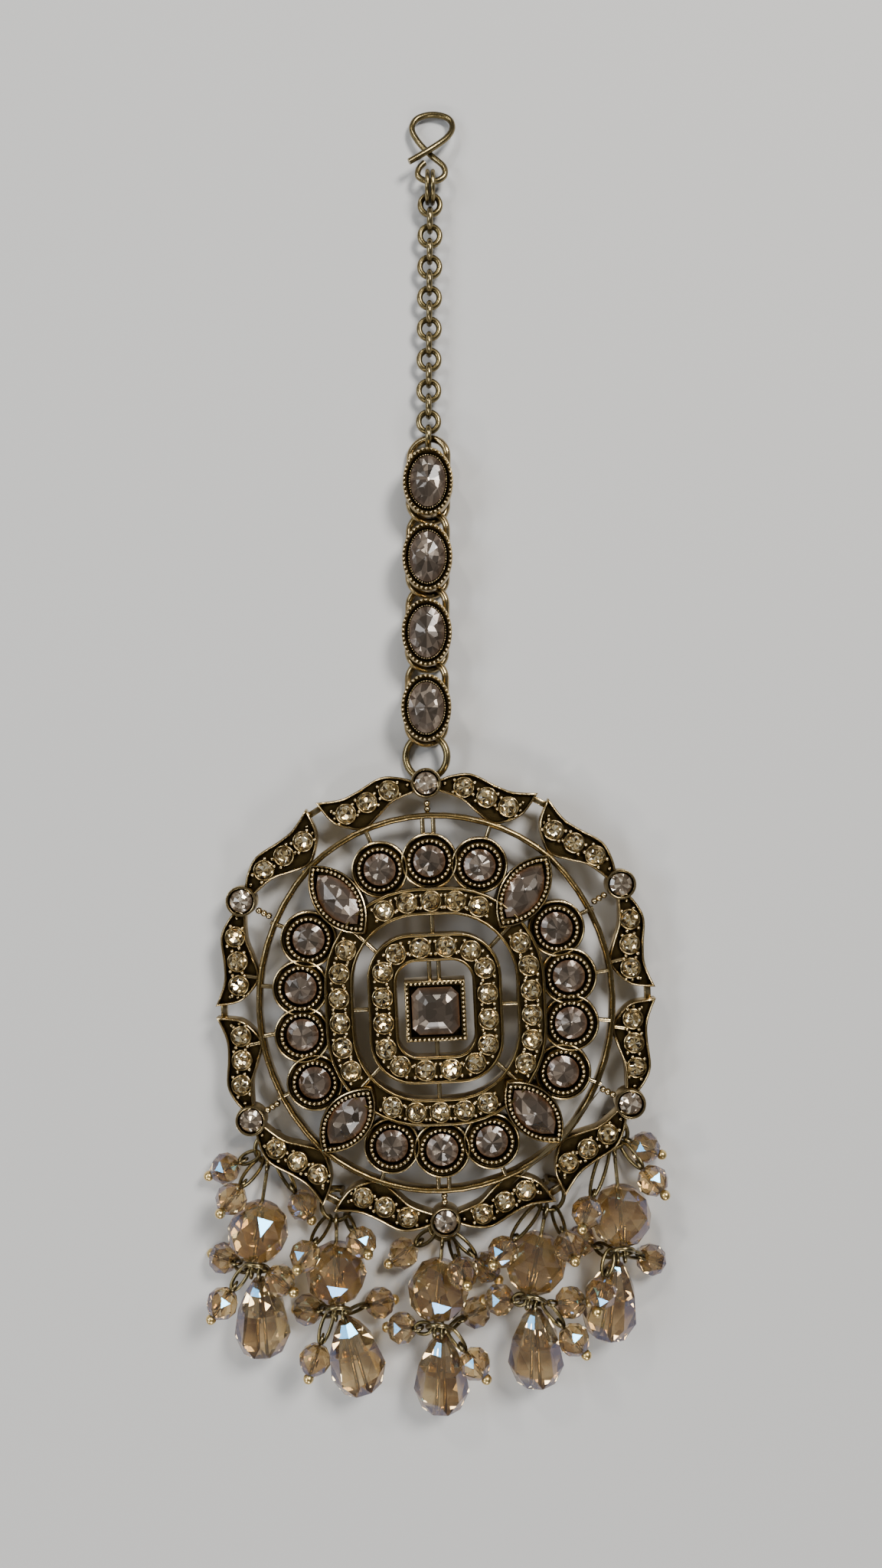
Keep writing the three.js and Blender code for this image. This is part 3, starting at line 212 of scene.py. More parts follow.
def dress(name, bm, place, material, stands_for=(), crease=40, painted_glints=None):
    """Makes the shape a piece of the tikka, in its place and with its finish. On cut glass each facet gets a
    random painted glint, which its material turns into painted reflection."""
    bmesh.ops.remove_doubles(bm, verts=bm.verts[:], dist=0.001)
    bm.transform(place)
    bmesh.ops.recalc_face_normals(bm, faces=bm.faces[:])
    # A random painted glint for each facet, read by the glass materials.
    if painted_glints is not None:
        layer = bm.faces.layers.float.new("painted_glint")
        for face in bm.faces:
            face[layer] = painted_glints.random()
    mesh = bpy.data.meshes.new(name)
    bm.to_mesh(mesh)
    bm.free()
    if crease:
        mesh.shade_smooth()
        mesh.set_sharp_from_angle(angle=math.radians(crease))
    mesh.materials.append(material)
    piece = bpy.data.objects.new(name, mesh)
    bpy.context.scene.collection.objects.link(piece)
    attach(piece, "root")
    if stands_for:
        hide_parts(*stands_for)


# The first colour is the painted shade of the hollows, the second the metal's own tone, the last the painted
# highlight of the edges.
cast_gold = gold_with_painted_shade(
    "cast antique gold", (0.012, 0.008, 0.003), (0.13, 0.088, 0.032), (1.0, 0.78, 0.43)
)

# degrees from the collet and share of the collets' orbit, out to the tip and back
LEAF_OUTER = ((2.8, 1.01), (6.4, 1.038), (11.4, 1.056), (18.0, 1.027), (22.8, 1.023), (28.6, 1.062))
LEAF_INNER = (
    (28.6, 1.062), (27.6, 0.95), (24.0, 0.882), (19.6, 0.852), (14.0, 0.89), (9.4, 0.934), (2.8, 0.965),
)
# the same for the three stones of a leaf, and for the grains round them
LEAF_STONES = ((10.0, 0.989), (16.5, 0.963), (23.0, 0.951))
LEAF_GRAINS = ((4.9, 1.0), (26.2, 0.993), (26.4, 0.955))
LEAF_GRAIN_SINK = 0.5
# how far inwards and how far up each step of a leaf's and a collet's top goes
LEAF_STEPS = ((0.06, 0.08), (0.1, 0.04), (0.1, -0.05), (0.1, -0.2), (0.03, -0.4))
LEAF_EDGE_RISE = 0.1
COLLET_STEPS = ((0.06, 0.1), (0.12, 0.03), (0.12, -0.05), (0.1, -0.3), (0.05, -0.6))
COLLET_EDGE_RISE = 0.12
# share of the orbit and depth under the rim's top of the three grains of a stem
STEM_GRAINS = ((0.908, 0.05), (0.882, 0.1), (0.857, 0.1))
TIP_ROOM = 0.7  # room left free of other points round a leaf's tip
SIDE_SQUEEZE = 0.055
SQUEEZE_START = math.cos(math.radians(30))


def drawn_in(point):
    """A point of the round rim, drawn in at the two sides, where the rim is narrower than high."""
    sideways = abs(point.x) / Vector((point.x, point.y)).length
    share = max(0.0, (sideways - SQUEEZE_START) / (1 - SQUEEZE_START))
    return Vector((point.x * (1 - SIDE_SQUEEZE * share), point.y, point.z))


def leaf_point(angle, reach):
    return polar(COLLET_ORBIT * reach, angle)


leaf_tip = leaf_point(*LEAF_INNER[0])
leaf_sides = [
    [p for p in flowing([leaf_point(*spot) for spot in side]) if (p - leaf_tip).length > TIP_ROOM]
    for side in (LEAF_OUTER, LEAF_INNER)
]
leaf_outline = leaf_sides[0] + [leaf_tip] + leaf_sides[1]


def rim_leaf(angle, side):
    """The leaf beside the collet at that angle, on one side of it."""
    mirror = Matrix.Scale(side, 4, (0, 1, 0))
    outline = [drawn_in(turned(angle) @ mirror @ point) for point in leaf_outline]
    return cast_cup(outline, RIM_BACK, RIM_TOP - LEAF_EDGE_RISE, LEAF_STEPS)


collet_top = RIM_TOP + COLLET_LIFT - COLLET_EDGE_RISE
collet = cast_cup(circle(COLLET_RADIUS, 28), RIM_BACK, collet_top, COLLET_STEPS)
stem_grain, leaf_grain = grain_template(0.46), grain_template(0.3)
rim = bmesh.new()
for angle in COLLET_ANGLES:
    for side in (1, -1):
        set_in(rim, rim_leaf(angle, side), Matrix())
    set_in(rim, collet, turned(0, polar(COLLET_ORBIT, angle)))
    for reach, sink in STEM_GRAINS:
        set_in(rim, stem_grain, Matrix.Translation(polar(COLLET_ORBIT * reach, angle, RIM_TOP - sink)))
    for side in (-1, 1):
        for off, reach in LEAF_GRAINS:
            spot = drawn_in(polar(COLLET_ORBIT * reach, angle + side * off, RIM_TOP - LEAF_GRAIN_SINK))
            set_in(rim, leaf_grain, Matrix.Translation(spot))

# The oval wire, its spokes and the lugs are cast with the rim.
# The wire is four shallow arcs that meet behind the leaf tips; short spokes tie it to the settings
# inside it, and staple lugs under the rim take the strand and the five drops.
WIRE_LIFT = 0.7
WIRE_HALF_WIDTH, WIRE_HALF_HEIGHT = 22.9, 24.3
WIRE_CORNER_X, WIRE_CORNER_Y = 15.6, 18.2
WIRE_WIDTH, WIRE_DEPTH, WIRE_CROWN = 0.8, 1.6, 0.37
POINT_GAP = 0.6  # least distance between two points of the wire's outline


def wire_arcs(offset, steps=15):
    """The oval wire's outline, moved outwards by the offset."""
    points = []
    side_arc = (WIRE_HALF_WIDTH, WIRE_CORNER_Y, WIRE_CORNER_X)
    end_arc = (WIRE_HALF_HEIGHT, WIRE_CORNER_X, WIRE_CORNER_Y)
    for middle, (half, along, corner) in ((0, side_arc), (90, end_arc), (180, side_arc), (270, end_arc)):
        rise = half - corner
        radius = (along**2 + rise**2) / (2 * rise)
        sweep = math.degrees(math.asin(along / radius))
        centre = polar(half - radius, middle)
        for i in range(steps):
            angle = middle - sweep + 2 * sweep * i / (steps - 1)
            point = centre + polar(radius + offset, angle)
            if not points or (point - points[-1]).length > POINT_GAP:
                points.append(point)
    return points


def band(bm, outer, inner, bottom, top, crown=0.1):
    """A closed ring between two outlines, its upper edges eased by a crown."""
    loops = []
    for outline in (outer, inner):
        ring = [bm.verts.new((point.x, point.y, bottom)) for point in outline]
        loops += [bm.edges.new((a, b)) for a, b in zip(ring, ring[1:] + ring[:1])]
    floor = bmesh.ops.bridge_loops(bm, edges=loops)["faces"]
    raised = bmesh.ops.extrude_face_region(bm, geom=floor)["geom"]
    lifted = [item for item in raised if isinstance(item, bmesh.types.BMVert)]
    bmesh.ops.translate(bm, verts=lifted, vec=(0, 0, top - bottom))
    ceiling = [item for item in raised if isinstance(item, bmesh.types.BMFace)]
    rims = [e for e in {edge for face in ceiling for edge in face.edges}
            if sum(f in ceiling for f in e.link_faces) == 1]
    bmesh.ops.bevel(
        bm, geom=rims, offset=crown, offset_type="OFFSET", segments=3, profile=0.5,
        affect="EDGES", material=-1,
    )


def run_wire(bm, points, radius, closed=False):
    """Round wire along the points."""
    curve = bpy.data.curves.new("wire", "CURVE")
    curve.dimensions = "3D"
    curve.bevel_depth = radius
    curve.bevel_resolution = 3
    curve.use_fill_caps = True
    spline = curve.splines.new("POLY")
    spline.points.add(len(points) - 1)
    for spot, point in zip(spline.points, points):
        spot.co = (point[0], point[1], point[2], 1)
    spline.use_cyclic_u = closed
    holder = bpy.data.objects.new("wire", curve)
    mesh = bpy.data.meshes.new_from_object(holder)
    bm.from_mesh(mesh)
    bpy.data.meshes.remove(mesh)
    bpy.data.objects.remove(holder)
    bpy.data.curves.remove(curve)


def rectangle(half_x, half_y):
    corners = ((half_x, -half_y), (half_x, half_y), (-half_x, half_y), (-half_x, -half_y))
    return [Vector((x, y, 0)) for x, y in corners]


wire_top = RIM_TOP + WIRE_LIFT
band(
    rim, wire_arcs(WIRE_WIDTH / 2), wire_arcs(-WIRE_WIDTH / 2), wire_top - WIRE_DEPTH, wire_top, WIRE_CROWN
)
# where a spoke leaves the settings and where it meets the wire, in one quarter of the pendant
SPOKES = (
    ((0.7, 21.8), (0.7, 24.3)), ((7.4, 20.9), (8.2, 23.0)),
    ((20.5, 3.0), (22.9, 3.3)), ((19.0, 10.6), (20.9, 11.4)),
)
SPOKE_RADIUS = 0.3
SPOKE_SINK = 0.35
for side_x, side_y in ((1, 1), (1, -1), (-1, 1), (-1, -1)):
    for ends in SPOKES:
        run_wire(rim, [(side_x * x, side_y * y, wire_top - SPOKE_SINK) for x, y in ends], SPOKE_RADIUS)
# short wires at the sides, where a leaf stands off the oval wire
SIDE_TIE_ANGLES = (10.4, 169.6, 190.4, 349.6)
SIDE_TIE_ENDS = (22.9, 25.2)
SIDE_TIE_SINK = 0.4
for angle in SIDE_TIE_ANGLES:
    run_wire(rim, [polar(reach, angle, RIM_TOP - SIDE_TIE_SINK) for reach in SIDE_TIE_ENDS], SPOKE_RADIUS)
# flat strips that join the leaf tips from behind
TIP_STRIP_HALF = (0.4, 1.3)
TIP_STRIP_DEPTH = 0.8
TIP_STRIP_REACH = 1.03
strip = cast_cup(rectangle(*TIP_STRIP_HALF), RIM_BACK, RIM_BACK + TIP_STRIP_DEPTH, ((0.1, 0.08),))
for angle in range(0, 360, 60):
    set_in(rim, strip, turned(angle, drawn_in(polar(COLLET_ORBIT * TIP_STRIP_REACH, angle))))

# degrees round the pendant, share of the orbit and plan place of the big bead that hangs there
DROP_LUGS = ((217, 0.99), (240, 1.008), (270, 0.985), (300, 1.008), (323, 0.99))
BEAD_SPOTS = ((-23.2, -30.0), (-13.0, -35.4), (0.3, -37.6), (13.0, -34.1), (24.1, -27.9))
DROP_WIRE = 0.6
STRAND_LUG_ORBIT = 29.1
STRAND_WIRE = 0.95
LUG_RADIUS = 0.3
LUG_PLAY = 0.3
LUG_BEND = 0.25
LUG_LOW = 0.31  # height of the middle of its lowest stretch
LUG_BASE = 0.6  # height of that stretch's upper side, where a drop's ring lies


def lug(angle, orbit, wire, heading):
    """A staple of wire under the rim, open towards the way the ring leaves it."""
    across = polar(1, heading + 90)
    reach = across * (wire / 2 + LUG_PLAY + LUG_RADIUS)
    inner = reach - across * LUG_BEND
    foot = polar(orbit, angle)
    high, low = Vector((0, 0, RIM_BACK + LUG_BEND)), Vector((0, 0, LUG_LOW))
    bent = low + Vector((0, 0, LUG_BEND))
    run_wire(rim, (
        foot - reach + high, foot - reach + bent, foot - inner + low,
        foot + inner + low, foot + reach + bent, foot + reach + high,
    ), LUG_RADIUS)


lug(90, STRAND_LUG_ORBIT, STRAND_WIRE, 90)
for (angle, reach), (bead_x, bead_y) in zip(DROP_LUGS, BEAD_SPOTS):
    at = polar(COLLET_ORBIT * reach, angle + PENDANT_TURN)
    heading = math.degrees(math.atan2(bead_y - at.y, bead_x - at.x)) - PENDANT_TURN
    lug(angle, COLLET_ORBIT * reach, DROP_WIRE, heading)
dress("pendant_rim", rim, pendant_place, cast_gold, ("pendant_frame",))

# Fourteen round settings stand in scallops inside the oval wire, cast with it in the same metal.
# Each is a turned rim wire, a trough and a bezel whose edge is rolled into fine grains.
METAL_DEPTH = 2.2
ROUND_TOP = RIM_TOP + 2.4
ROUND_SPOTS = ((0, 18.5), (6.4, 17.7), (17.2, 3.0), (15.9, 9.2))
ROUND_WALL_RADIUS = 3.65
ROUND_GRAIN_RADIUS = 2.62
ROUND_STEPS = (
    (0.06, 0.14), (0.1, 0.05), (0.1, -0.05), (0.1, -0.28), (0.14, -0.06),
    (0.12, 0.2), (0.16, 0.2), (0.3, 0.02), (0.12, -0.12), (0.08, -0.6),
)
ROUND_WALL_FALL = 0.35
GRAIN_PITCH = 0.6
GRAIN_SINK = 0.02


def mirrored(x, y):
    return list(dict.fromkeys(((x, y), (-x, y), (x, -y), (-x, -y))))


def strung(outline, pitch):
    """Points at an even pitch along a closed outline."""
    runs = [(b - a).length for a, b in zip(outline, outline[1:] + outline[:1])]
    count = round(sum(runs) / pitch)
    return [walked(outline, sum(runs) * i / count) for i in range(count)]


def walked(outline, distance):
    """The point at that distance along a closed outline."""
    pairs = list(zip(outline, outline[1:] + outline[:1]))
    distance %= sum((b - a).length for a, b in pairs)
    for a, b in pairs:
        length = (b - a).length
        if distance <= length:
            return a.lerp(b, distance / length)
        distance -= length
    return outline[0]


grain = grain_template(0.27)
round_cup = cast_cup(
    circle(ROUND_WALL_RADIUS, 36), ROUND_TOP - METAL_DEPTH, ROUND_TOP - ROUND_WALL_FALL, ROUND_STEPS
)
settings = bmesh.new()
for spot in ROUND_SPOTS:
    for x, y in mirrored(*spot):
        set_in(settings, round_cup, Matrix.Translation((x, y, 0)))
        for point in strung(circle(ROUND_GRAIN_RADIUS, 36), GRAIN_PITCH):
            set_in(settings, grain, Matrix.Translation(point + Vector((x, y, ROUND_TOP - GRAIN_SINK))))

# Four marquise settings fill the corners and slope from the middle ring down to the oval wire.
# They are pointed cups of the same casting, with a row of grains along the edge of each.
MARQUISE_TOP = RIM_TOP + 2.6
MARQUISE_TILT = 14
MARQUISE_ANGLE = 52
MARQUISE_SPOTS = mirrored(12.0, 14.2)
MARQUISE_CUP = (11.4, 6.1)
MARQUISE_GRAINS = (9.9, 4.9)
MARQUISE_DEPTH = 2.6
MARQUISE_STEPS = (
    (0.06, 0.14), (0.1, 0.05), (0.1, -0.05), (0.1, -0.2), (0.06, 0.06),
    (0.08, 0.1), (0.22, 0.02), (0.1, -0.15), (0.05, -0.6),
)
MARQUISE_WALL_FALL = 0.25


def marquise(length, width, steps=16):
    """The outline of two arcs that meet in a point at each end."""
    half = length / 2
    radius = (half**2 + (width / 2) ** 2) / width
    sweep = math.asin(half / radius)
    points = []
    for side in (1, -1):
        for i in range(steps):
            angle = -sweep + 2 * sweep * i / steps
            bulge = radius * math.cos(angle) - radius + width / 2
            points.append(Vector((side * radius * math.sin(angle), -side * bulge, 0)))
    return points


def marquise_place(x, y):
    """Where a marquise stands: turned to its corner, its outer end lower than its inner one."""
    tilt = Matrix.Rotation(math.radians(math.copysign(MARQUISE_TILT, x)), 4, "Y")
    return turned(math.copysign(MARQUISE_ANGLE, x * y), (x, y, MARQUISE_TOP)) @ tilt


marquise_cup = cast_cup(marquise(*MARQUISE_CUP), -MARQUISE_DEPTH, -MARQUISE_WALL_FALL, MARQUISE_STEPS)
for x, y in MARQUISE_SPOTS:
    place = marquise_place(x, y)
    set_in(settings, marquise_cup, place)
    for point in strung(marquise(*MARQUISE_GRAINS), GRAIN_PITCH):
        set_in(settings, grain, place @ Matrix.Translation(point + Vector((0, 0, -GRAIN_SINK))))
dress("round_and_marquise_settings", settings, pendant_place, cast_gold)

# Two cushion-shaped rings carry a row of small stones each, in a trench between two ridges.
# Bars tie them together and hold the square setting, the highest part of the dome.
MIDDLE_TOP = RIM_TOP + 3.2
INNER_TOP = RIM_TOP + 4.4
SQUARE_TOP = RIM_TOP + 6.0
# half width, half height and corner radius of each ring's outer and inner outline
MIDDLE_RING = ((14.1, 15.2, 12.3), (10.4, 11.7, 8.6))
INNER_RING = ((8.5, 9.5, 5.6), (4.8, 6.0, 2.6))
TRENCH_DEPTH, TRENCH_CROWN = 0.6, 0.05
RIDGE_WIDTH, RIDGE_DEPTH, RIDGE_CROWN = 0.4, 0.8, 0.18
SQUARE_HALF = 3.8
SQUARE_GRAIN_HALF = 3.5
SQUARE_STEPS = (
    (0.08, 0.12), (0.1, 0.03), (0.12, -0.03), (0.14, 0.02), (0.15, -0.05), (0.12, -0.3), (0.05, -0.8),
)
SQUARE_WALL_FALL = 0.25
SQUARE_SINK = 1.8  # how far its wall reaches down beside the inner ring
SQUARE_GRAIN_PITCH, SQUARE_GRAIN_SINK = 0.56, 0.04


def cushion(half_x, half_y, corner, steps=10):
    """A rectangle with round corners, with a point at the middle of each side."""
    middles = ((half_x, 0, 0), (0, half_y, 0), (-half_x, 0, 0), (0, -half_y, 0))
    points = []
    for middle, side_x, side_y, start in zip(middles, (1, -1, -1, 1), (1, 1, -1, -1), (0, 90, 180, 270)):
        points.append(Vector(middle))
        for i in range(steps + 1):
            centre = Vector((side_x * (half_x - corner), side_y * (half_y - corner), 0))
            points.append(centre + polar(corner, start + 90 * i / steps))
    return points


rings = bmesh.new()
for (outer, inner), top in ((MIDDLE_RING, MIDDLE_TOP), (INNER_RING, INNER_TOP)):
    band(rings, cushion(*outer), cushion(*inner), top - METAL_DEPTH, top - TRENCH_DEPTH, TRENCH_CROWN)
    inside = cushion(*(size - RIDGE_WIDTH for size in outer))
    band(rings, cushion(*outer), inside, top - RIDGE_DEPTH, top, RIDGE_CROWN)
    outside = cushion(*(size + RIDGE_WIDTH for size in inner))
    band(rings, outside, cushion(*inner), top - RIDGE_DEPTH, top, RIDGE_CROWN)

square_cup = cast_cup(
    rectangle(SQUARE_HALF, SQUARE_HALF), INNER_TOP - SQUARE_SINK, SQUARE_TOP - SQUARE_WALL_FALL, SQUARE_STEPS
)
set_in(rings, square_cup, Matrix())
small_grain = grain_template(0.24)
for point in strung(rectangle(SQUARE_GRAIN_HALF, SQUARE_GRAIN_HALF), SQUARE_GRAIN_PITCH):
    set_in(rings, small_grain, Matrix.Translation(point + Vector((0, 0, SQUARE_TOP - SQUARE_GRAIN_SINK))))
# degrees, and from where to where each bar between the two rings runs, on one half of the pendant
RING_BARS = ((0, 8.2, 10.8), (45, 9.6, 14.0), (90, 9.2, 12.1), (135, 9.6, 14.0))
RING_BAR_SINK = 0.45
for half_turn in (0, 180):
    for angle, *reaches in RING_BARS:
        ends = [polar(reach, half_turn + angle, MIDDLE_TOP - RING_BAR_SINK) for reach in reaches]
        run_wire(rings, ends, SPOKE_RADIUS)
# place and side of the bars that hold the square setting
SQUARE_BARS = ((0.6, 1), (-0.6, 1), (0, -1))
SQUARE_BAR_REACH = 6.2
SQUARE_BAR_RADIUS = 0.28
SQUARE_BAR_SINK = 0.5
for x, side in SQUARE_BARS:
    ends = [(x, side * y, INNER_TOP - SQUARE_BAR_SINK) for y in (SQUARE_GRAIN_HALF, SQUARE_BAR_REACH)]
    run_wire(rings, ends, SQUARE_BAR_RADIUS)
dress("cushion_rings_and_square_setting", rings, pendant_place, cast_gold)

# Small round stones of champagne glass: three in each leaf and a row round each cushion ring.
# Each has a flat table and eight kite facets over a foiled back, and is held by a cup and grains.
STONE_RADIUS = 1.18
STONE_SINK = 0.1
FLAT = math.radians(2)  # facets that differ by less than this angle are one


def hulled(bm):
    """Wraps the points in facets, those of one plane made one."""
    bmesh.ops.convex_hull(bm, input=bm.verts[:])
    bmesh.ops.dissolve_limit(bm, angle_limit=FLAT, verts=bm.verts[:], edges=bm.edges[:])


def cut_stone(outline, rows, star=True):
    """A cut stone: rows give the share of the outline, the height and which of its points are used."""
    bm = bmesh.new()
    for share, height, start in rows:
        points = outline[start::2] if share else [Vector()]
        for point in points:
            bm.verts.new((point.x * share, point.y * share, height))
    hulled(bm)
    if star:
        tables = [face for face in bm.faces if face.normal.z > 0.99]
        bmesh.ops.poke(bm, faces=tables)
    return kept(bm)


def foiled_stone(name, shades, metal, rough, cell, flash, edge=None, coat=1.0):
    """Foil-backed glass under a clear, hard coat: each facet's colour is painted from dark to bright by a
    random glint, as painted reflection over the glass's own colour, and where an edge colour is given the
    rim gets painted shade.
    """
    finish = Finish(name, {
        "Metallic": metal, "Roughness": rough,
        "Coat Weight": coat, "Coat Roughness": 0.02, "Coat IOR": 1.6,
    })
    # Each facet's random glint, mixed with the foil's cells, picks a colour on the ramp from dark to bright:
    # painted reflection over the glass's own colour.
    facet = finish.add("Attribute")
    facet.attribute_name = "painted_glint"
    place = finish.add("TexCoord")
    depths = finish.add("TexVoronoi", {"Scale": cell})
    form = finish.add("NewGeometry")
    centred = finish.add("VectorMath", {1: (0.5, 0.5, 0.5)}, "SUBTRACT")
    spread = finish.add("VectorMath", {"Scale": flash}, "SCALE")
    leaned = finish.add("VectorMath")
    level = finish.add("VectorMath", operation="NORMALIZE")
    blend = finish.add("Mix", {"Factor": 0.35})
    ramp = finish.ramp(shades)
    finish.join(
        (place, "Object", depths, "Vector"), (depths, "Color", centred, 0), (centred, 0, spread, 0),
        (spread, 0, leaned, 0), (form, "Normal", leaned, 1), (leaned, 0, level, 0),
        (level, 0, finish.shader, "Normal"), (facet, "Fac", blend, 2), (depths, "Color", blend, 3),
        (blend, 0, ramp, "Fac"),
    )
    if edge:
        # Ambient occlusion turns the colour towards the edge colour where the setting closes round the
        # stone: painted shade at the rim.
        shadow = finish.add("AmbientOcclusion", {"Distance": 0.0014})
        shadow.samples = PAINTED_SHADE_SAMPLES
        painted_rim_shade = finish.add("Mix")
        painted_rim_shade.data_type = "RGBA"
        painted_rim_shade.inputs["A"].default_value = (*edge, 1)
        curve = finish.add("MapRange", {"From Min": 0.35, "From Max": 0.93})
        finish.join(
            (shadow, "AO", curve, "Value"), (curve, "Result", painted_rim_shade, "Factor"),
            (ramp, "Color", painted_rim_shade, "B"), (painted_rim_shade, "Result", finish.shader, "Base Color"),
        )
    else:
        finish.join((ramp, "Color", finish.shader, "Base Color"))
    return finish.material


# Glass colours from dark to bright, picked by each facet's painted glint: the glass's own colour with
# painted reflection.
CHAMPAGNE_SHADES = (
    (0.15, (0.02, 0.012, 0.004)), (0.38, (0.34, 0.22, 0.075)),
    (0.6, (0.88, 0.67, 0.31)), (0.85, (1.0, 0.93, 0.72)),
)
champagne = foiled_stone(
    "foiled champagne glass", CHAMPAGNE_SHADES, metal=0.85, rough=0.1, cell=2300, flash=1.1
)
SMALL_STONE_ROWS = (
    (0.5, -0.45, 0), (1, -0.12, 0), (1, -0.12, 1), (0.8, 0.18, 1), (0.56, 0.34, 0), (0.56, 0.34, 1),
)
small_stone = cut_stone(circle(STONE_RADIUS, 16), SMALL_STONE_ROWS)
STONE_CUP_WALL, STONE_CUP_DEPTH, STONE_CUP_FALL = 0.22, 0.5, 0.08
STONE_CUP_STEPS = ((0.04, 0.06), (0.08, 0.03), (0.08, -0.03), (0.03, -0.2))
cup_outline = circle(STONE_RADIUS + STONE_CUP_WALL, 20)
stone_cup = cast_cup(cup_outline, -STONE_CUP_DEPTH, -STONE_CUP_FALL, STONE_CUP_STEPS)
prong = grain_template(0.28)
PRONG_AHEAD, PRONG_OUT, PRONG_RISE = 1.32, 0.78, 0.05


def ring_row(half_x, half_y, corner, top, steps):
    """Seats along the middle of a cushion ring: distances from the middle of each side."""
    line = cushion(half_x, half_y, corner)
    quarter = sum((b - a).length for a, b in zip(line, line[1:] + line[:1])) / 4
    return [
        (walked(line, quarter * side + step), walked(line, quarter * side + step + 0.1), top)
        for side, offsets in steps
        for step in offsets
    ]


seats = []
for angle in COLLET_ANGLES:
    for side in (-1, 1):
        for off, reach in LEAF_STONES:
            bearing = angle + side * off
            spot, ahead = (drawn_in(polar(COLLET_ORBIT * reach, bearing + step)) for step in (0, 0.3))
            seats.append((spot, ahead, RIM_TOP))
# half width, half height and corner radius of the line that each ring's stones stand on
MIDDLE_ROW = (12.25, 13.45, 10.45)
INNER_ROW = (6.65, 7.75, 4.1)
FIVES_PITCH, SIXES_PITCH, FOURS_PITCH = 3.1, 3.15, 3.25
fives = [FIVES_PITCH * step for step in (-2, -1, 0, 1, 2)]
sixes = [SIXES_PITCH * step for step in (-2.5, -1.5, -0.5, 0.5, 1.5, 2.5)]
fours = [FOURS_PITCH * step for step in (-1.5, -0.5, 0.5, 1.5)]
seats += ring_row(*MIDDLE_ROW, MIDDLE_TOP, ((0, sixes), (1, fives), (2, sixes), (3, fives)))
seats += ring_row(*INNER_ROW, INNER_TOP, ((0, fours), (1, fours), (2, fours), (3, fours)))

chatons, cups = bmesh.new(), bmesh.new()
fire = random.Random(11)
for spot, ahead, top in seats:
    along = (ahead - spot).normalized()
    across = Vector((-along.y, along.x, 0))
    centre = spot + Vector((0, 0, top - STONE_SINK))
    set_in(chatons, small_stone, Matrix.Translation(centre) @ Matrix.Rotation(fire.random(), 4, "Z"))
    set_in(cups, stone_cup, Matrix.Translation(centre))
    for ahead_side in (-1, 1):
        for out_side in (-1, 1):
            foot = centre + along * ahead_side * PRONG_AHEAD + across * out_side * PRONG_OUT
            set_in(cups, prong, Matrix.Translation(foot + Vector((0, 0, PRONG_RISE))))


def dress_glass(name, bm, place, material, stands_for=()):
    """Dresses cut glass: its facets stay flat, and each gets its own painted glint."""
    dress(name, bm, place, material, stands_for, crease=0, painted_glints=fire)


dress_glass("small_champagne_stones", chatons, pendant_place, champagne)
dress("small_stone_cups", cups, pendant_place, cast_gold)

# The mauve stones: fourteen round, four marquise, six in the collets and the square one in the middle.
# They are foil-backed glass set with the pointed side up, so that long facets run out from a point.
# Glass colours from dark to bright, picked by each facet's painted glint: the glass's own colour with
# painted reflection.
MAUVE_SHADES = (
    (0.1, (0.025, 0.019, 0.013)), (0.5, (0.062, 0.048, 0.037)),
    (0.8, (0.112, 0.088, 0.068)), (0.97, (0.27, 0.22, 0.175)),
)
# The edge colour is the painted shade at the rim of each stone.
mauve = foiled_stone(
    "foiled mauve glass", MAUVE_SHADES, metal=0.3, rough=0.2,
    cell=800, flash=0.36, edge=(0.13, 0.05, 0.013), coat=0.3,
)
# Glass colours from dark to bright, picked by each facet's painted glint: the glass's own colour with
# painted reflection. The edge colour is the painted shade at the rim.
PALE_SHADES = (
    (0.1, (0.05, 0.036, 0.024)), (0.4, (0.20, 0.155, 0.11)),
    (0.7, (0.42, 0.35, 0.27)), (0.95, (0.9, 0.84, 0.72)),
)
pale_mauve = foiled_stone(
    "foiled pale glass", PALE_SHADES, metal=0.6, rough=0.12, cell=1500, flash=0.8, edge=(0.10, 0.045, 0.012)
)


def pointed(outline, depth, rise):
    """A stone of that depth below its girdle, whose long facets rise from there to a point."""
    shoulder, near_tip, tip = depth + rise * 0.55, depth + rise * 0.97, depth + rise
    rows = ((0.6, 0, 0), (1, depth, 0), (1, depth, 1), (0.66, shoulder, 0), (0.1, near_tip, 0), (0, tip, 0))
    return cut_stone(outline, rows, star=False)


fire = random.Random(5)
SEAT_DEPTH = 1.1  # from a setting's top to the back of its stone
STONE_DEPTH = 0.8
ROUND_STONE_RADIUS, ROUND_STONE_RISE = 2.05, 0.65
stones = bmesh.new()
names = []
round_stone = pointed(circle(ROUND_STONE_RADIUS, 24), STONE_DEPTH, ROUND_STONE_RISE)
for spot in ROUND_SPOTS:
    for x, y in mirrored(*spot):
        names.append(f"round_stone_{len(names) + 1}")
        set_in(stones, round_stone, turned(360 * fire.random(), (x, y, ROUND_TOP - SEAT_DEPTH)))
dress_glass("round_stones", stones, pendant_place, mauve, names)

MARQUISE_STONE, MARQUISE_STONE_RISE = (8.2, 4.4), 0.75
stones = bmesh.new()
marquise_stone = pointed(marquise(*MARQUISE_STONE, 6), STONE_DEPTH, MARQUISE_STONE_RISE)
for x, y in MARQUISE_SPOTS:
    set_in(stones, marquise_stone, marquise_place(x, y) @ Matrix.Translation((0, 0, -SEAT_DEPTH)))
names = [f"marquise_stone_{i}" for i in (1, 2, 3, 4)]
dress_glass("marquise_stones", stones, pendant_place, mauve, names)

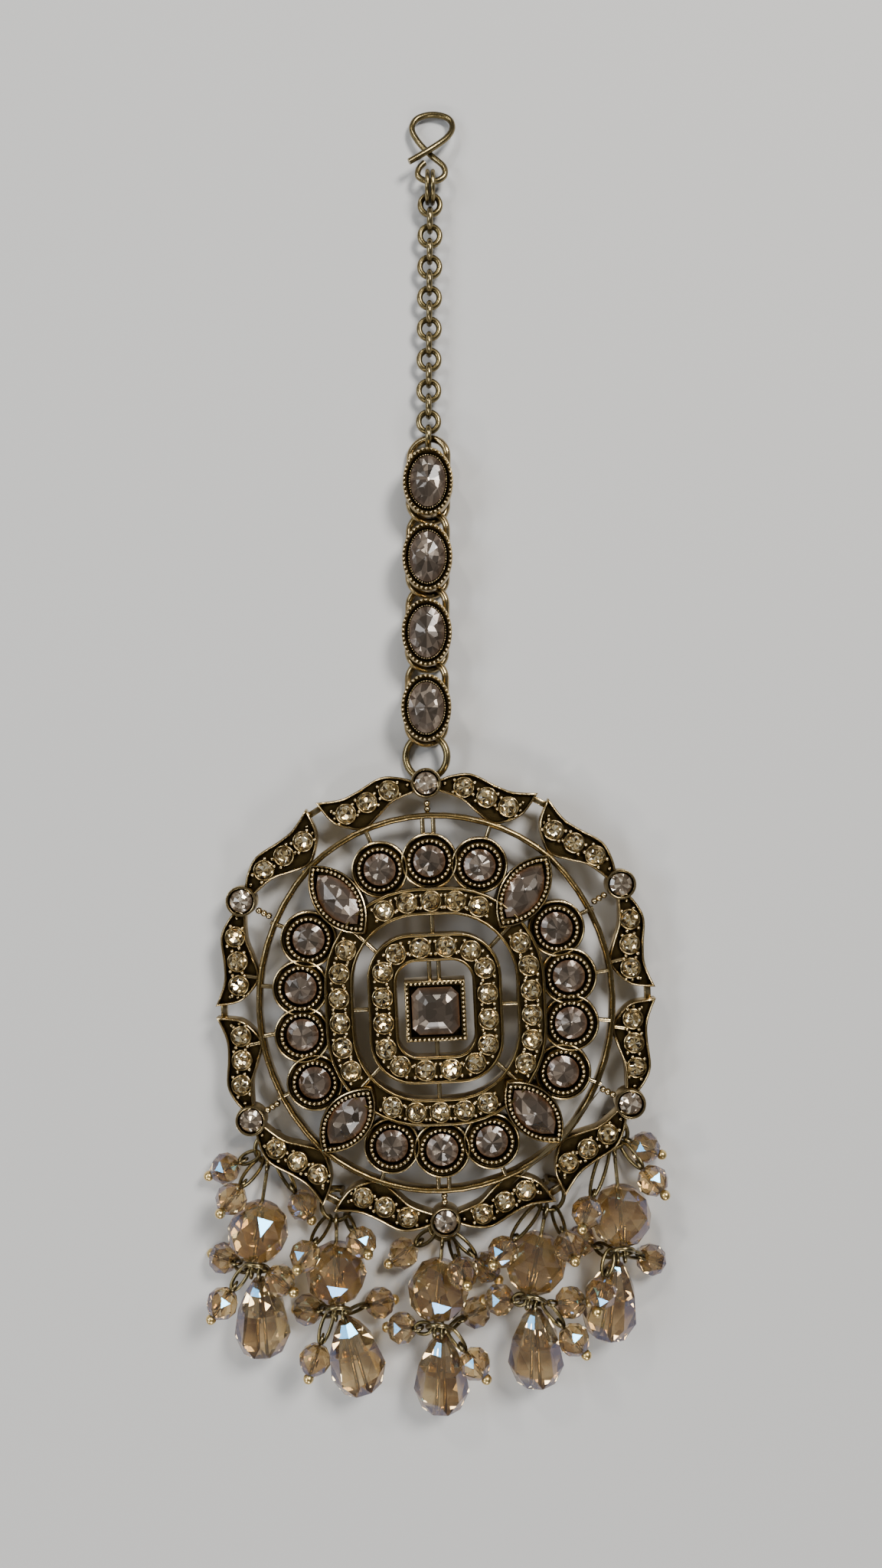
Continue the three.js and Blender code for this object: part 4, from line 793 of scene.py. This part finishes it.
COLLET_SEAT_DEPTH = 0.9
COLLET_STONE_RADIUS, COLLET_STONE_DEPTH, COLLET_STONE_RISE = 1.45, 0.6, 0.5
stones = bmesh.new()
collet_stone = pointed(circle(COLLET_STONE_RADIUS, 20), COLLET_STONE_DEPTH, COLLET_STONE_RISE)
for angle in COLLET_ANGLES:
    seat = polar(COLLET_ORBIT, angle, RIM_TOP + COLLET_LIFT - COLLET_SEAT_DEPTH)
    set_in(stones, collet_stone, turned(360 * fire.random(), seat))
names = [f"collet_stone_{i}" for i in range(1, 7)]
dress_glass("collet_stones", stones, pendant_place, pale_mauve, names)

SQUARE_STONE_HALF = 2.95
SQUARE_CORNER = 0.9
SQUARE_SEAT_DEPTH = 1.3
# share of the square's outline and height of each row of its steps
SQUARE_STONE_ROWS = ((0.6, 0), (1, 1.0), (0.72, 1.55), (0.42, 1.95))
far, near = SQUARE_STONE_HALF, SQUARE_STONE_HALF - SQUARE_CORNER
octagon = [
    (far, -near), (far, near), (near, far), (-near, far),
    (-far, near), (-far, -near), (-near, -far), (near, -far),
]
stones, bm = bmesh.new(), bmesh.new()
for share, height in SQUARE_STONE_ROWS:
    for x, y in octagon:
        bm.verts.new((x * share, y * share, height))
hulled(bm)
set_in(stones, kept(bm), Matrix.Translation((0, 0, SQUARE_TOP - SQUARE_SEAT_DEPTH)))
dress_glass("square_centre_stone", stones, pendant_place, mauve, ("centre_stone",))

# The strand starts with one round ring through the lug behind the top collet.
# Its brass wire, like that of the chain, the jump rings and the hook, has a darker olive finish.
# The first colour is the painted shade of the hollows, the second the wire's own tone, the last the painted
# highlight of the edges.
wire_gold = gold_with_painted_shade(
    "antique gold wire", (0.03, 0.022, 0.009), (0.15, 0.115, 0.05), (0.62, 0.50, 0.27),
    shade_reach=0.0012, rough=0.14, edge_highlight=0.3,
)
STRAND_HEIGHT = 1.505
STRAND_TURN = -0.4
PENDANT_RING_DIAMETER = 6.8
PENDANT_RING_LEAN = -20  # degrees that its outer side lies lower
strand_foot = polar(STRAND_LUG_ORBIT, 90 + PENDANT_TURN)
strand_place = (
    Matrix.Translation((heart.x + strand_foot.x * MM, heart.y + strand_foot.y * MM, STRAND_HEIGHT * MM))
    @ Matrix.Rotation(math.radians(STRAND_TURN), 4, "Z")
    @ Matrix.Scale(MM, 4)
)


def wire_ring(diameter, wire, steps=36):
    """A round ring of round wire, lying flat, spun from the circle of its wire."""
    bm = bmesh.new()
    section = Matrix.Translation(((diameter - wire) / 2, 0, 0)) @ Matrix.Rotation(math.pi / 2, 4, "X")
    bmesh.ops.create_circle(bm, segments=10, radius=wire / 2, matrix=section)
    bmesh.ops.spin(
        bm, geom=bm.verts[:] + bm.edges[:], cent=(0, 0, 0), axis=(0, 0, 1),
        angle=2 * math.pi, steps=steps, use_merge=True,
    )
    bmesh.ops.remove_doubles(bm, verts=bm.verts[:], dist=0.001)
    return kept(bm)


ring_place = (
    Matrix.Translation((0, (PENDANT_RING_DIAMETER - STRAND_WIRE) / 2, 0))
    @ Matrix.Rotation(math.radians(PENDANT_RING_LEAN), 4, "Y")
)
link = bmesh.new()
set_in(link, wire_ring(PENDANT_RING_DIAMETER, STRAND_WIRE), ring_place)
dress("pendant_ring_wire", link, strand_place, wire_gold, ("pendant_ring",))

# Four oval stones in brass cups with a grained edge, each cup soldered on a long link of round wire.
# The two bows of a link are bent opposite ways, so that each hooks into the next.
OVAL_COUNT = 4
OVAL_PITCH = 9.8
FIRST_LINK = 10.125
OVAL_WIRE = 0.95
BOW_RADIUS = 2.475
BOW_REACH = 3.05  # from the middle of a link to the centre of each bow
BOW_TWIST = math.tan(math.radians(20))
TWIST_END = 3.6  # from here on the whole bow leans
CUP_BACK = 1.25
CUP_TOP = 3.65
CUP_SHIFT = 0.9
OVAL_WALL, OVAL_EDGE_ROW, OVAL_FINE_ROW = (3.28, 4.38), (3.07, 4.17), (2.42, 3.45)
OVAL_STEPS = (
    (0.05, 0.1), (0.08, 0.02), (0.3, 0.0), (0.08, -0.14), (0.16, -0.2),
    (0.12, -0.1), (0.1, 0.05), (0.1, -0.1), (0.06, -0.5),
)
OVAL_WALL_FALL = 0.4
OVAL_SEAT_DEPTH = 1.3


def oval(half_width, half_length, sides=48):
    return circle(half_width, sides, half_length)


oval_cup = cast_cup(oval(*OVAL_WALL), CUP_BACK, CUP_TOP - OVAL_WALL_FALL, OVAL_STEPS)
OVAL_STONE, OVAL_STONE_DEPTH, OVAL_STONE_RISE = (2.3, 3.3), 1.0, 0.85
oval_stone = pointed(oval(*OVAL_STONE, 24), OVAL_STONE_DEPTH, OVAL_STONE_RISE)
# the outline, pitch and depth under the cup's top of each row of grains
OVAL_GRAINS = (
    (grain_template(0.23), OVAL_EDGE_ROW, 0.58, 0.08),
    (grain_template(0.14), OVAL_FINE_ROW, 0.33, 0.52),
)
# the bar under the cup that solders it to its link
SOLDER_HALF, SOLDER_HEIGHT, SOLDER_RADIUS = 2.5, 0.75, 0.7


def stadium(points=40):
    """The middle line of a long link, its two bows leaning opposite ways."""
    run = []
    for i in range(points):
        angle = 2 * math.pi * (i + 0.5) / points
        x, y = BOW_RADIUS * math.cos(angle), BOW_RADIUS * math.sin(angle)
        y += math.copysign(BOW_REACH, y)
        run.append(Vector((x, y, x * BOW_TWIST * max(-1, min(1, y / TWIST_END)))))
    return run


for number in range(1, OVAL_COUNT + 1):
    unit = bmesh.new()
    run_wire(unit, stadium(), OVAL_WIRE / 2, closed=True)
    set_in(unit, oval_cup, Matrix.Translation((0, -CUP_SHIFT, 0)))
    for template, outline, pitch, sink in OVAL_GRAINS:
        for point in strung(oval(*outline), pitch):
            set_in(unit, template, Matrix.Translation(point + Vector((0, -CUP_SHIFT, CUP_TOP - sink))))
    run_wire(unit, [(x, -CUP_SHIFT, SOLDER_HEIGHT) for x in (-SOLDER_HALF, SOLDER_HALF)], SOLDER_RADIUS)
    place = strand_place @ Matrix.Translation((0, FIRST_LINK + (OVAL_COUNT - number) * OVAL_PITCH, 0))
    dress(f"oval_link_{number}", unit, place, cast_gold, (f"oval_setting_{number}",))
    gem = bmesh.new()
    set_in(gem, oval_stone, Matrix.Translation((0, -CUP_SHIFT, CUP_TOP - OVAL_SEAT_DEPTH)))
    dress_glass(f"oval_gem_{number}", gem, place, mauve, (f"oval_stone_{number}",))

# The chain is sixteen round links of brass wire, each turned a quarter from the last.
# Two jump rings of thinner wire, side by side, join its last link to the hook's eye.
CHAIN_LINKS = 16
CHAIN_START = 45.175
CHAIN_PITCH = 2.05
CHAIN_HEIGHT = 1.73
LINK_DIAMETER, LINK_WIRE = 3.4, 0.8
upright = Matrix.Rotation(math.pi / 2, 4, "Y")
chain_link = wire_ring(LINK_DIAMETER, LINK_WIRE, 28)
chain = bmesh.new()
for i in range(CHAIN_LINKS):
    at = Matrix.Translation((0, CHAIN_START + i * CHAIN_PITCH, CHAIN_HEIGHT - STRAND_HEIGHT))
    set_in(chain, chain_link, at if i % 2 else at @ upright)
dress("rolo_chain", chain, strand_place, wire_gold, ("chain",))

JUMP_DIAMETER, JUMP_WIRE = 4.4, 0.62
JUMP_SPOTS = ((-0.345, 78.025, 0.725), (0.345, 78.025, 0.725))
jump_ring = wire_ring(JUMP_DIAMETER, JUMP_WIRE)
jump_rings = bmesh.new()
for spot in JUMP_SPOTS:
    set_in(jump_rings, jump_ring, Matrix.Translation(spot) @ upright)
dress("hook_jump_rings", jump_rings, strand_place, wire_gold, ("hook_rings",))

# The hook is one springy brass wire: a big bend that opens at the bottom, a crossing and a small eye.
# The eye hangs in the two jump rings, and the big bend slips into the hair.
HOOK_WIRE = 0.8
HOOK_PATH = (
    (-2.8, -1.5, 0.95), (0.1, 0.4, 0.95), (2.2, 2.4, 0.55), (2.9, 4.2, 0.2), (2.2, 5.6, 0.05), (0.2, 6.1, 0),
    (-1.8, 5.5, 0), (-2.5, 4.0, 0), (-1.7, 2.2, 0), (0.1, 0.1, 0), (1.7, -1.4, 0), (1.9, -2.7, 0),
    (0.9, -3.55, 0), (-0.5, -3.6, 0), (-1.6, -2.9, 0), (-1.5, -1.8, 0), (-0.8, -0.95, 0),
)
hook = bmesh.new()
run_wire(hook, flowing([Vector(p) for p in HOOK_PATH], 6), HOOK_WIRE / 2)
HOOK_AT = (0, 82.425, 0.145)
HOOK_FALL, HOOK_RUN = 1.5, 9.6  # how far the bend dips to the floor, over the hook's length
hook_lean = Matrix.Rotation(-math.atan2(HOOK_FALL, HOOK_RUN), 4, "X")
hook_place = strand_place @ Matrix.Translation(HOOK_AT) @ hook_lean
dress("hair_hook_wire", hook, hook_place, wire_gold, ("hook",))

# Five drops hang from the lower rim and lie splayed on the floor.
# Each has a jump ring with two or three small cut beads on ball-ended head pins, a big cut bead on
# an eye pin, a smaller jump ring with three more small beads, and a cut teardrop at the end.
drop_place = Matrix.Translation((heart.x, heart.y, 0)) @ Matrix.Scale(MM, 4)
UP = Vector((0, 0, 1))
EYE, PIN = 2.2, 0.5
SMALL_RADIUS, SMALL_LENGTH = 2.1, 3.6
BEAD_RADIUS, BEAD_LENGTH = 4.0, 7.36
DROP_RADIUS, DROP_LENGTH = 3.7, 10.4
UPPER_JUMP, LOWER_JUMP = 4.5, 3.6
LOOP_DIAMETER, LOOP_WIRE = 1.75, 0.36
BALL_RADIUS = 0.68
FLOOR_GAP = 0.03
# teardrop's heading and the side its eye sits on, then the small beads of the upper and lower ring
CLUSTERS = (
    (272, -1, ((-27.8, -22.4), (-26.3, -25.0), (-17.6, -27.2)),
     ((-28.0, -34.2), (-19.9, -35.0), (-27.4, -38.3))),
    (283, -1, ((-16.6, -31.8), (-9.6, -30.6)), ((-16.9, -41.0), (-7.4, -40.1), (-15.4, -45.0))),
    (270, -1, ((-4.3, -33.6), (3.4, -33.8), (6.6, -35.4)), ((-4.4, -42.4), (5.2, -41.4), (5.0, -45.6))),
    (272, -1, ((8.6, -31.3), (17.0, -30.7)), ((8.3, -38.7), (17.3, -38.2), (17.6, -42.4))),
    (264, 1, ((27.6, -19.6), (28.2, -23.2), (19.3, -26.2)), ((19.2, -31.9), (20.9, -35.9), (28.4, -34.4))),
)
# share of the width, share of half the length, and which points of the outline each row uses
BEAD_ROWS = ((0.4, -1, 0), (0.76, -0.74, 1), (0.985, -0.2, 0), (0.985, 0.2, 1), (0.76, 0.74, 0), (0.4, 1, 1))
SMALL_ROWS = ((0.45, -1, 0), (0.86, -0.55, 1), (1, 0, 0), (0.86, 0.55, 1), (0.45, 1, 0))
DROP_ROWS = ((0.4, -1, 1), (0.78, -0.8, 0), (1, -0.38, 1), (0.82, 0.3, 1), (0.52, 0.75, 1), (0.26, 1, 1))


def cut_bead(radius, length, sides, rows):
    outline = circle(radius, 2 * sides)
    return cut_stone(outline, [(wide, along * length / 2, start) for wide, along, start in rows], star=False)


round_bead = cut_bead(BEAD_RADIUS, BEAD_LENGTH, 9, BEAD_ROWS)
small_bead = cut_bead(SMALL_RADIUS, SMALL_LENGTH, 8, SMALL_ROWS)
teardrop = cut_bead(DROP_RADIUS, DROP_LENGTH, 9, DROP_ROWS)
pin_eye = wire_ring(EYE, PIN, 20)
upper_jump, lower_jump = wire_ring(UPPER_JUMP, DROP_WIRE), wire_ring(LOWER_JUMP, DROP_WIRE, 30)
pin_loop = wire_ring(LOOP_DIAMETER, LOOP_WIRE, 16)
bm = bmesh.new()
bmesh.ops.create_uvsphere(bm, u_segments=14, v_segments=9, radius=BALL_RADIUS)
ball = kept(bm)


def facing(centre, normal):
    """Stands a flat shape at a centre with its axis along the normal."""
    return Matrix.Translation(centre) @ normal.to_track_quat("Z", "Y").to_matrix().to_4x4()


KEY_SPOT = Vector((0.20, 0.24, 0.40))
CAMERA_ABOVE = 0.157  # over the plane in which the photograph's frame is measured
FRAME_PLANE = 3.85 * MM
camera_spot = Vector((heart.x + 0.67 * MM, heart.y + 28.36 * MM, CAMERA_ABOVE + FRAME_PLANE))
LARGE_FACET = 0.55  # least share of the largest facet's area that counts as a large one


def gleaming(template, centre, axis, slack):
    """Turns a bead on its pin, and rocks it by the slack in degrees that the pin leaves it, until
    one of its large facets throws the key light at the camera."""
    at = drop_place @ centre
    wanted = ((KEY_SPOT - at).normalized() + (camera_spot - at).normalized()).normalized()
    place = facing(centre, axis)
    largest = max(facet.area for facet in template.polygons)
    normals = [facet.normal.copy() for facet in template.polygons if facet.area > LARGE_FACET * largest]
    rocks = [
        Matrix.Rotation(math.radians(lean), 4, "X") @ Matrix.Rotation(math.radians(nod), 4, "Y")
        for lean in (-slack, 0, slack) for nod in (-slack, 0, slack)
    ]
    spins = [Matrix.Rotation(math.radians(spin), 4, "Z") for spin in range(0, 40, 2)]

    def catch(turn):
        return max((turn.to_3x3() @ normal).dot(wanted) for normal in normals)

    return max((place @ rock @ spin for rock in rocks for spin in spins), key=catch)


def crystal():
    """Clear champagne glass with a thin coating that flashes blue; each facet's colour runs from dark to
    bright amber by a painted glint, as painted inner reflection.
    """
    finish = Finish("coated champagne crystal", {
        "Roughness": 0.015, "IOR": 1.56, "Transmission Weight": 0.93,
        "Thin Film Thickness": 175, "Thin Film IOR": 1.9,
    })
    place = finish.add("TexCoord")
    cloud = finish.add("TexNoise", {"Scale": 420})
    # Each facet's random glint, mixed with cloudy tone, picks a colour from dark to bright amber: painted
    # inner reflection over the glass's own colour.
    facet = finish.add("Attribute")
    facet.attribute_name = "painted_glint"
    blend = finish.add("Mix", {"Factor": 0.45})
    ramp = finish.ramp(((0.2, (0.36, 0.22, 0.08)), (0.5, (0.68, 0.46, 0.21)), (0.8, (0.96, 0.79, 0.47))))
    finish.join(
        (place, "Object", cloud, "Vector"), (facet, "Fac", blend, 2), (cloud, "Fac", blend, 3),
        (blend, 0, ramp, "Fac"), (ramp, "Color", finish.shader, "Base Color"),
    )
    return finish.material


clear = crystal()
# The balls get the same painted shade in hollows and painted highlight on edges.
ball_gold = gold_with_painted_shade(
    "bright gold balls", (0.20, 0.13, 0.04), (0.70, 0.50, 0.20), (1.0, 0.80, 0.42), rough=0.16
)
PILE_GAP = 0.2  # play between two beads that lie on each other


def resting_height(x, y, placed):
    """How high a small bead lies there, on the floor or on what lies below it already."""
    height = SMALL_RADIUS + FLOOR_GAP
    for at, radius in placed:
        reach = SMALL_RADIUS + radius + PILE_GAP
        apart = math.hypot(x - at.x, y - at.y)
        if apart < reach:
            rise = math.sqrt(reach**2 - apart**2)
            if at.z - rise < height:
                height = max(height, at.z + rise)
    return height


EYE_REACH = (EYE - PIN) / 2  # from the middle of an eye to the middle of its wire
PIN_SHOW = 0.3  # stretch of pin between an eye and its bead
UPPER_RADIUS, LOWER_RADIUS = (UPPER_JUMP - DROP_WIRE) / 2, (LOWER_JUMP - DROP_WIRE) / 2
LUG_TO_RING = 0.35  # how far a ring's first wire lies above the lug's own
UPPER_RISE = math.radians(10)
LOWER_LEAN = math.radians(35)
EYE_STEP = 0.95  # between the eyes that hang side by side in a lower ring
TEAR_LIFT = 0.55


def laid_out(index):
    """Where the rings, eyes, bead and teardrop of a drop lie, and which way they point."""
    (angle, reach), (bead_x, bead_y) = DROP_LUGS[index], BEAD_SPOTS[index]
    heading, side = CLUSTERS[index][:2]
    foot = polar(COLLET_ORBIT * reach, angle + PENDANT_TURN)
    start = Vector((foot.x, foot.y, LUG_BASE + DROP_WIRE / 2 + LUG_TO_RING))
    plan = Vector((bead_x - foot.x, bead_y - foot.y, 0)).normalized()
    rise = plan * math.cos(UPPER_RISE) + UP * math.sin(UPPER_RISE)
    across = plan.cross(UP)
    play = (EYE / 2 - PIN - DROP_WIRE / 2) / 2
    top_eye = start + rise * (2 * UPPER_RADIUS + play)
    bead = Vector((bead_x, bead_y, BEAD_RADIUS + FLOOR_GAP))
    axis = (bead - top_eye).normalized()
    low_eye = bead + axis * (BEAD_LENGTH / 2 + PIN_SHOW + EYE_REACH)
    drop_eye = low_eye + across * side * EYE_STEP
    tear_height = DROP_RADIUS + TEAR_LIFT
    fall = drop_eye.z - tear_height
    run = polar(math.sqrt((DROP_LENGTH / 2 + PIN_SHOW + EYE_REACH) ** 2 - fall**2), heading)
    tear = Vector((drop_eye.x + run.x, drop_eye.y + run.y, tear_height))
    tear_axis = (drop_eye - tear).normalized()
    lean = UP * math.cos(LOWER_LEAN) - plan * math.sin(LOWER_LEAN)
    low_middle = (low_eye + drop_eye) / 2 + lean * (LOWER_RADIUS + play * 0.6)
    rings = (
        (start + rise * UPPER_RADIUS, rise.cross(across).normalized(), UPPER_RADIUS, upper_jump),
        (low_middle, lean.cross(across).normalized(), LOWER_RADIUS, lower_jump),
    )
    return rings, top_eye, low_eye, drop_eye, bead, axis, tear, tear_axis, across


layouts = [laid_out(i) for i in range(5)]
placed = []
NECK_AT, NECK_WIDTH = 0.3, 0.7  # shares of the teardrop's length and of its radius
for _, top_eye, low_eye, drop_eye, bead, _, tear, tear_axis, _ in layouts:
    neck = tear + tear_axis * DROP_LENGTH * NECK_AT
    placed += [(bead, BEAD_RADIUS), (tear, DROP_RADIUS), (neck, DROP_RADIUS * NECK_WIDTH)]
    placed += [(eye, EYE / 2) for eye in (top_eye, low_eye, drop_eye)]

# along a small bead's pin, from the bead's middle
BALL_REACH = 2.35
LOOP_REACH = 2.45
PIN_FROM, PIN_TO = -1.75, 2.0
PIN_RADIUS, EYE_PIN_RADIUS, LINK_RADIUS = 0.2, 0.25, 0.24
LEAST_LINK = 0.9  # a loop farther than this from its ring hangs on a long link
LINK_WIDTH, LINK_TILT, LINK_OVER = 0.62, 0.35, 0.45
END_BALL_SCALE = 0.85
LEAST_BALL_HEIGHT = 0.7
BEAD_SLACK = 12  # degrees that a big bead can rock on its pin


def long_link(start, end, side_on, steps=20):
    """A jump ring pulled long between two loops."""
    span = end - start
    out = span.normalized()
    flat = (side_on - out * side_on.dot(out)).normalized() * LINK_WIDTH
    flat += out.cross(side_on).normalized() * LINK_TILT
    return [
        (start + end) / 2
        + out * (span.length / 2 + LINK_OVER) * math.cos(2 * math.pi * i / steps)
        + flat * math.sin(2 * math.pi * i / steps)
        for i in range(steps)
    ]


for number, (layout, cluster) in enumerate(zip(layouts, CLUSTERS), 1):
    rings, top_eye, low_eye, drop_eye, bead, axis, tear, tear_axis, across = layout
    pins, balls, smalls = bmesh.new(), bmesh.new(), bmesh.new()
    for (centre, normal, radius, jump), spots in zip(rings, cluster[2:]):
        set_in(pins, jump, facing(centre, normal))
        for x, y in spots:
            at = Vector((x, y, resting_height(x, y, placed)))
            placed.append((at, SMALL_RADIUS))
            away = at - centre
            away -= normal * away.dot(normal)
            hold = centre + away.normalized() * radius
            along = (at - hold).normalized()
            lowest = (LEAST_BALL_HEIGHT - at.z) / BALL_REACH
            out = Vector(along)
            if out.z < lowest:
                flat = Vector((out.x, out.y, 0)).normalized() * math.sqrt(1 - lowest**2)
                out = Vector((flat.x, flat.y, lowest))
            loop = at - out * LOOP_REACH
            side_on = out.cross(UP).normalized()
            set_in(pins, pin_loop, facing(loop, side_on))
            run_wire(pins, (at + out * PIN_FROM, at + out * PIN_TO), PIN_RADIUS)
            if (loop - hold).length > LEAST_LINK:
                run_wire(pins, long_link(hold, loop, side_on), LINK_RADIUS, closed=True)
            set_in(balls, ball, Matrix.Translation(at + out * BALL_REACH))
            set_in(smalls, small_bead, facing(at, out))
    for eye in (top_eye, low_eye, drop_eye):
        set_in(pins, pin_eye, facing(eye, across))
    run_wire(pins, (top_eye + axis * EYE_REACH, low_eye - axis * EYE_REACH), EYE_PIN_RADIUS)
    end = tear - tear_axis * DROP_LENGTH / 2
    run_wire(pins, (drop_eye - tear_axis * EYE_REACH, end - tear_axis * 0.1), EYE_PIN_RADIUS)
    set_in(balls, ball, Matrix.Translation(end - tear_axis * PIN_SHOW) @ Matrix.Scale(END_BALL_SCALE, 4))
    big, long = bmesh.new(), bmesh.new()
    set_in(big, round_bead, gleaming(round_bead, bead, axis, BEAD_SLACK))
    set_in(long, teardrop, gleaming(teardrop, tear, tear_axis, 0))
    upper_and_lower = (f"drop_ring_{number}", f"lower_ring_{number}")
    dress(f"drop_{number}_pins_and_rings", pins, drop_place, wire_gold)
    dress(f"drop_{number}_ball_ends", balls, drop_place, ball_gold)
    for name, shape, stands_for in (
        (f"drop_{number}_small_beads", smalls, upper_and_lower),
        (f"drop_{number}_big_bead", big, (f"bead_{number}",)),
        (f"drop_{number}_teardrop", long, (f"teardrop_{number}",)),
    ):
        dress_glass(name, shape, drop_place, clear, stands_for)

# A plain pale floor, soft lights and the camera, which looks straight down as in the photograph.
# The floor is matt paper, and five soft lamps stand round it, the brightest at the upper right.
FLOOR_HALF = 1.5
bm = bmesh.new()
bmesh.ops.create_grid(bm, x_segments=1, y_segments=1, size=FLOOR_HALF)
ground = bpy.data.meshes.new("floor")
bm.to_mesh(ground)
bm.free()
paper = Finish("pale paper", {"Base Color": (0.50, 0.505, 0.51, 1), "Roughness": 0.9})
ground.materials.append(paper.material)
floor = bpy.data.objects.new("floor", ground)
bpy.context.scene.collection.objects.link(floor)

world = bpy.data.worlds.new("studio")
bpy.context.scene.world = world
world.use_nodes = True
world.node_tree.nodes["Background"].inputs["Color"].default_value = (0.92, 0.95, 1.0, 1)
world.node_tree.nodes["Background"].inputs["Strength"].default_value = 0.13

# name, place, size, power and colour
LIGHTS = (
    ("key", KEY_SPOT, 0.13, 3.0, (1.0, 0.96, 0.90)),
    ("fill", (-0.34, 0.05, 0.32), 0.16, 0.9, (0.90, 0.95, 1.0)),
    ("front", (0.05, -0.36, 0.26), 0.1, 0.8, (1.0, 0.97, 0.93)),
    ("left spark", (-0.16, 0.30, 0.30), 0.04, 0.45, (1.0, 0.95, 0.86)),
    ("low spark", (-0.22, -0.24, 0.24), 0.04, 0.35, (1.0, 0.93, 0.82)),
)
for name, spot, size, power, colour in LIGHTS:
    lamp = bpy.data.lights.new(name, "AREA")
    lamp.size = size
    lamp.energy = power
    lamp.color = colour
    holder = bpy.data.objects.new(name, lamp)
    holder.location = spot
    holder.rotation_euler = (-Vector(spot)).to_track_quat("-Z", "Y").to_euler()
    bpy.context.scene.collection.objects.link(holder)

PHOTO_HEIGHT = 2048 * 0.1 * MM  # 2048 pixels of 0.1 mm in the frame's plane
SENSOR = 36
lens = bpy.data.cameras.new("camera")
lens.sensor_width = SENSOR
lens.lens = SENSOR * CAMERA_ABOVE / PHOTO_HEIGHT
lens.clip_start = 0.01
camera = bpy.data.objects.new("camera", lens)
camera.location = camera_spot
bpy.context.scene.collection.objects.link(camera)
bpy.context.scene.camera = camera
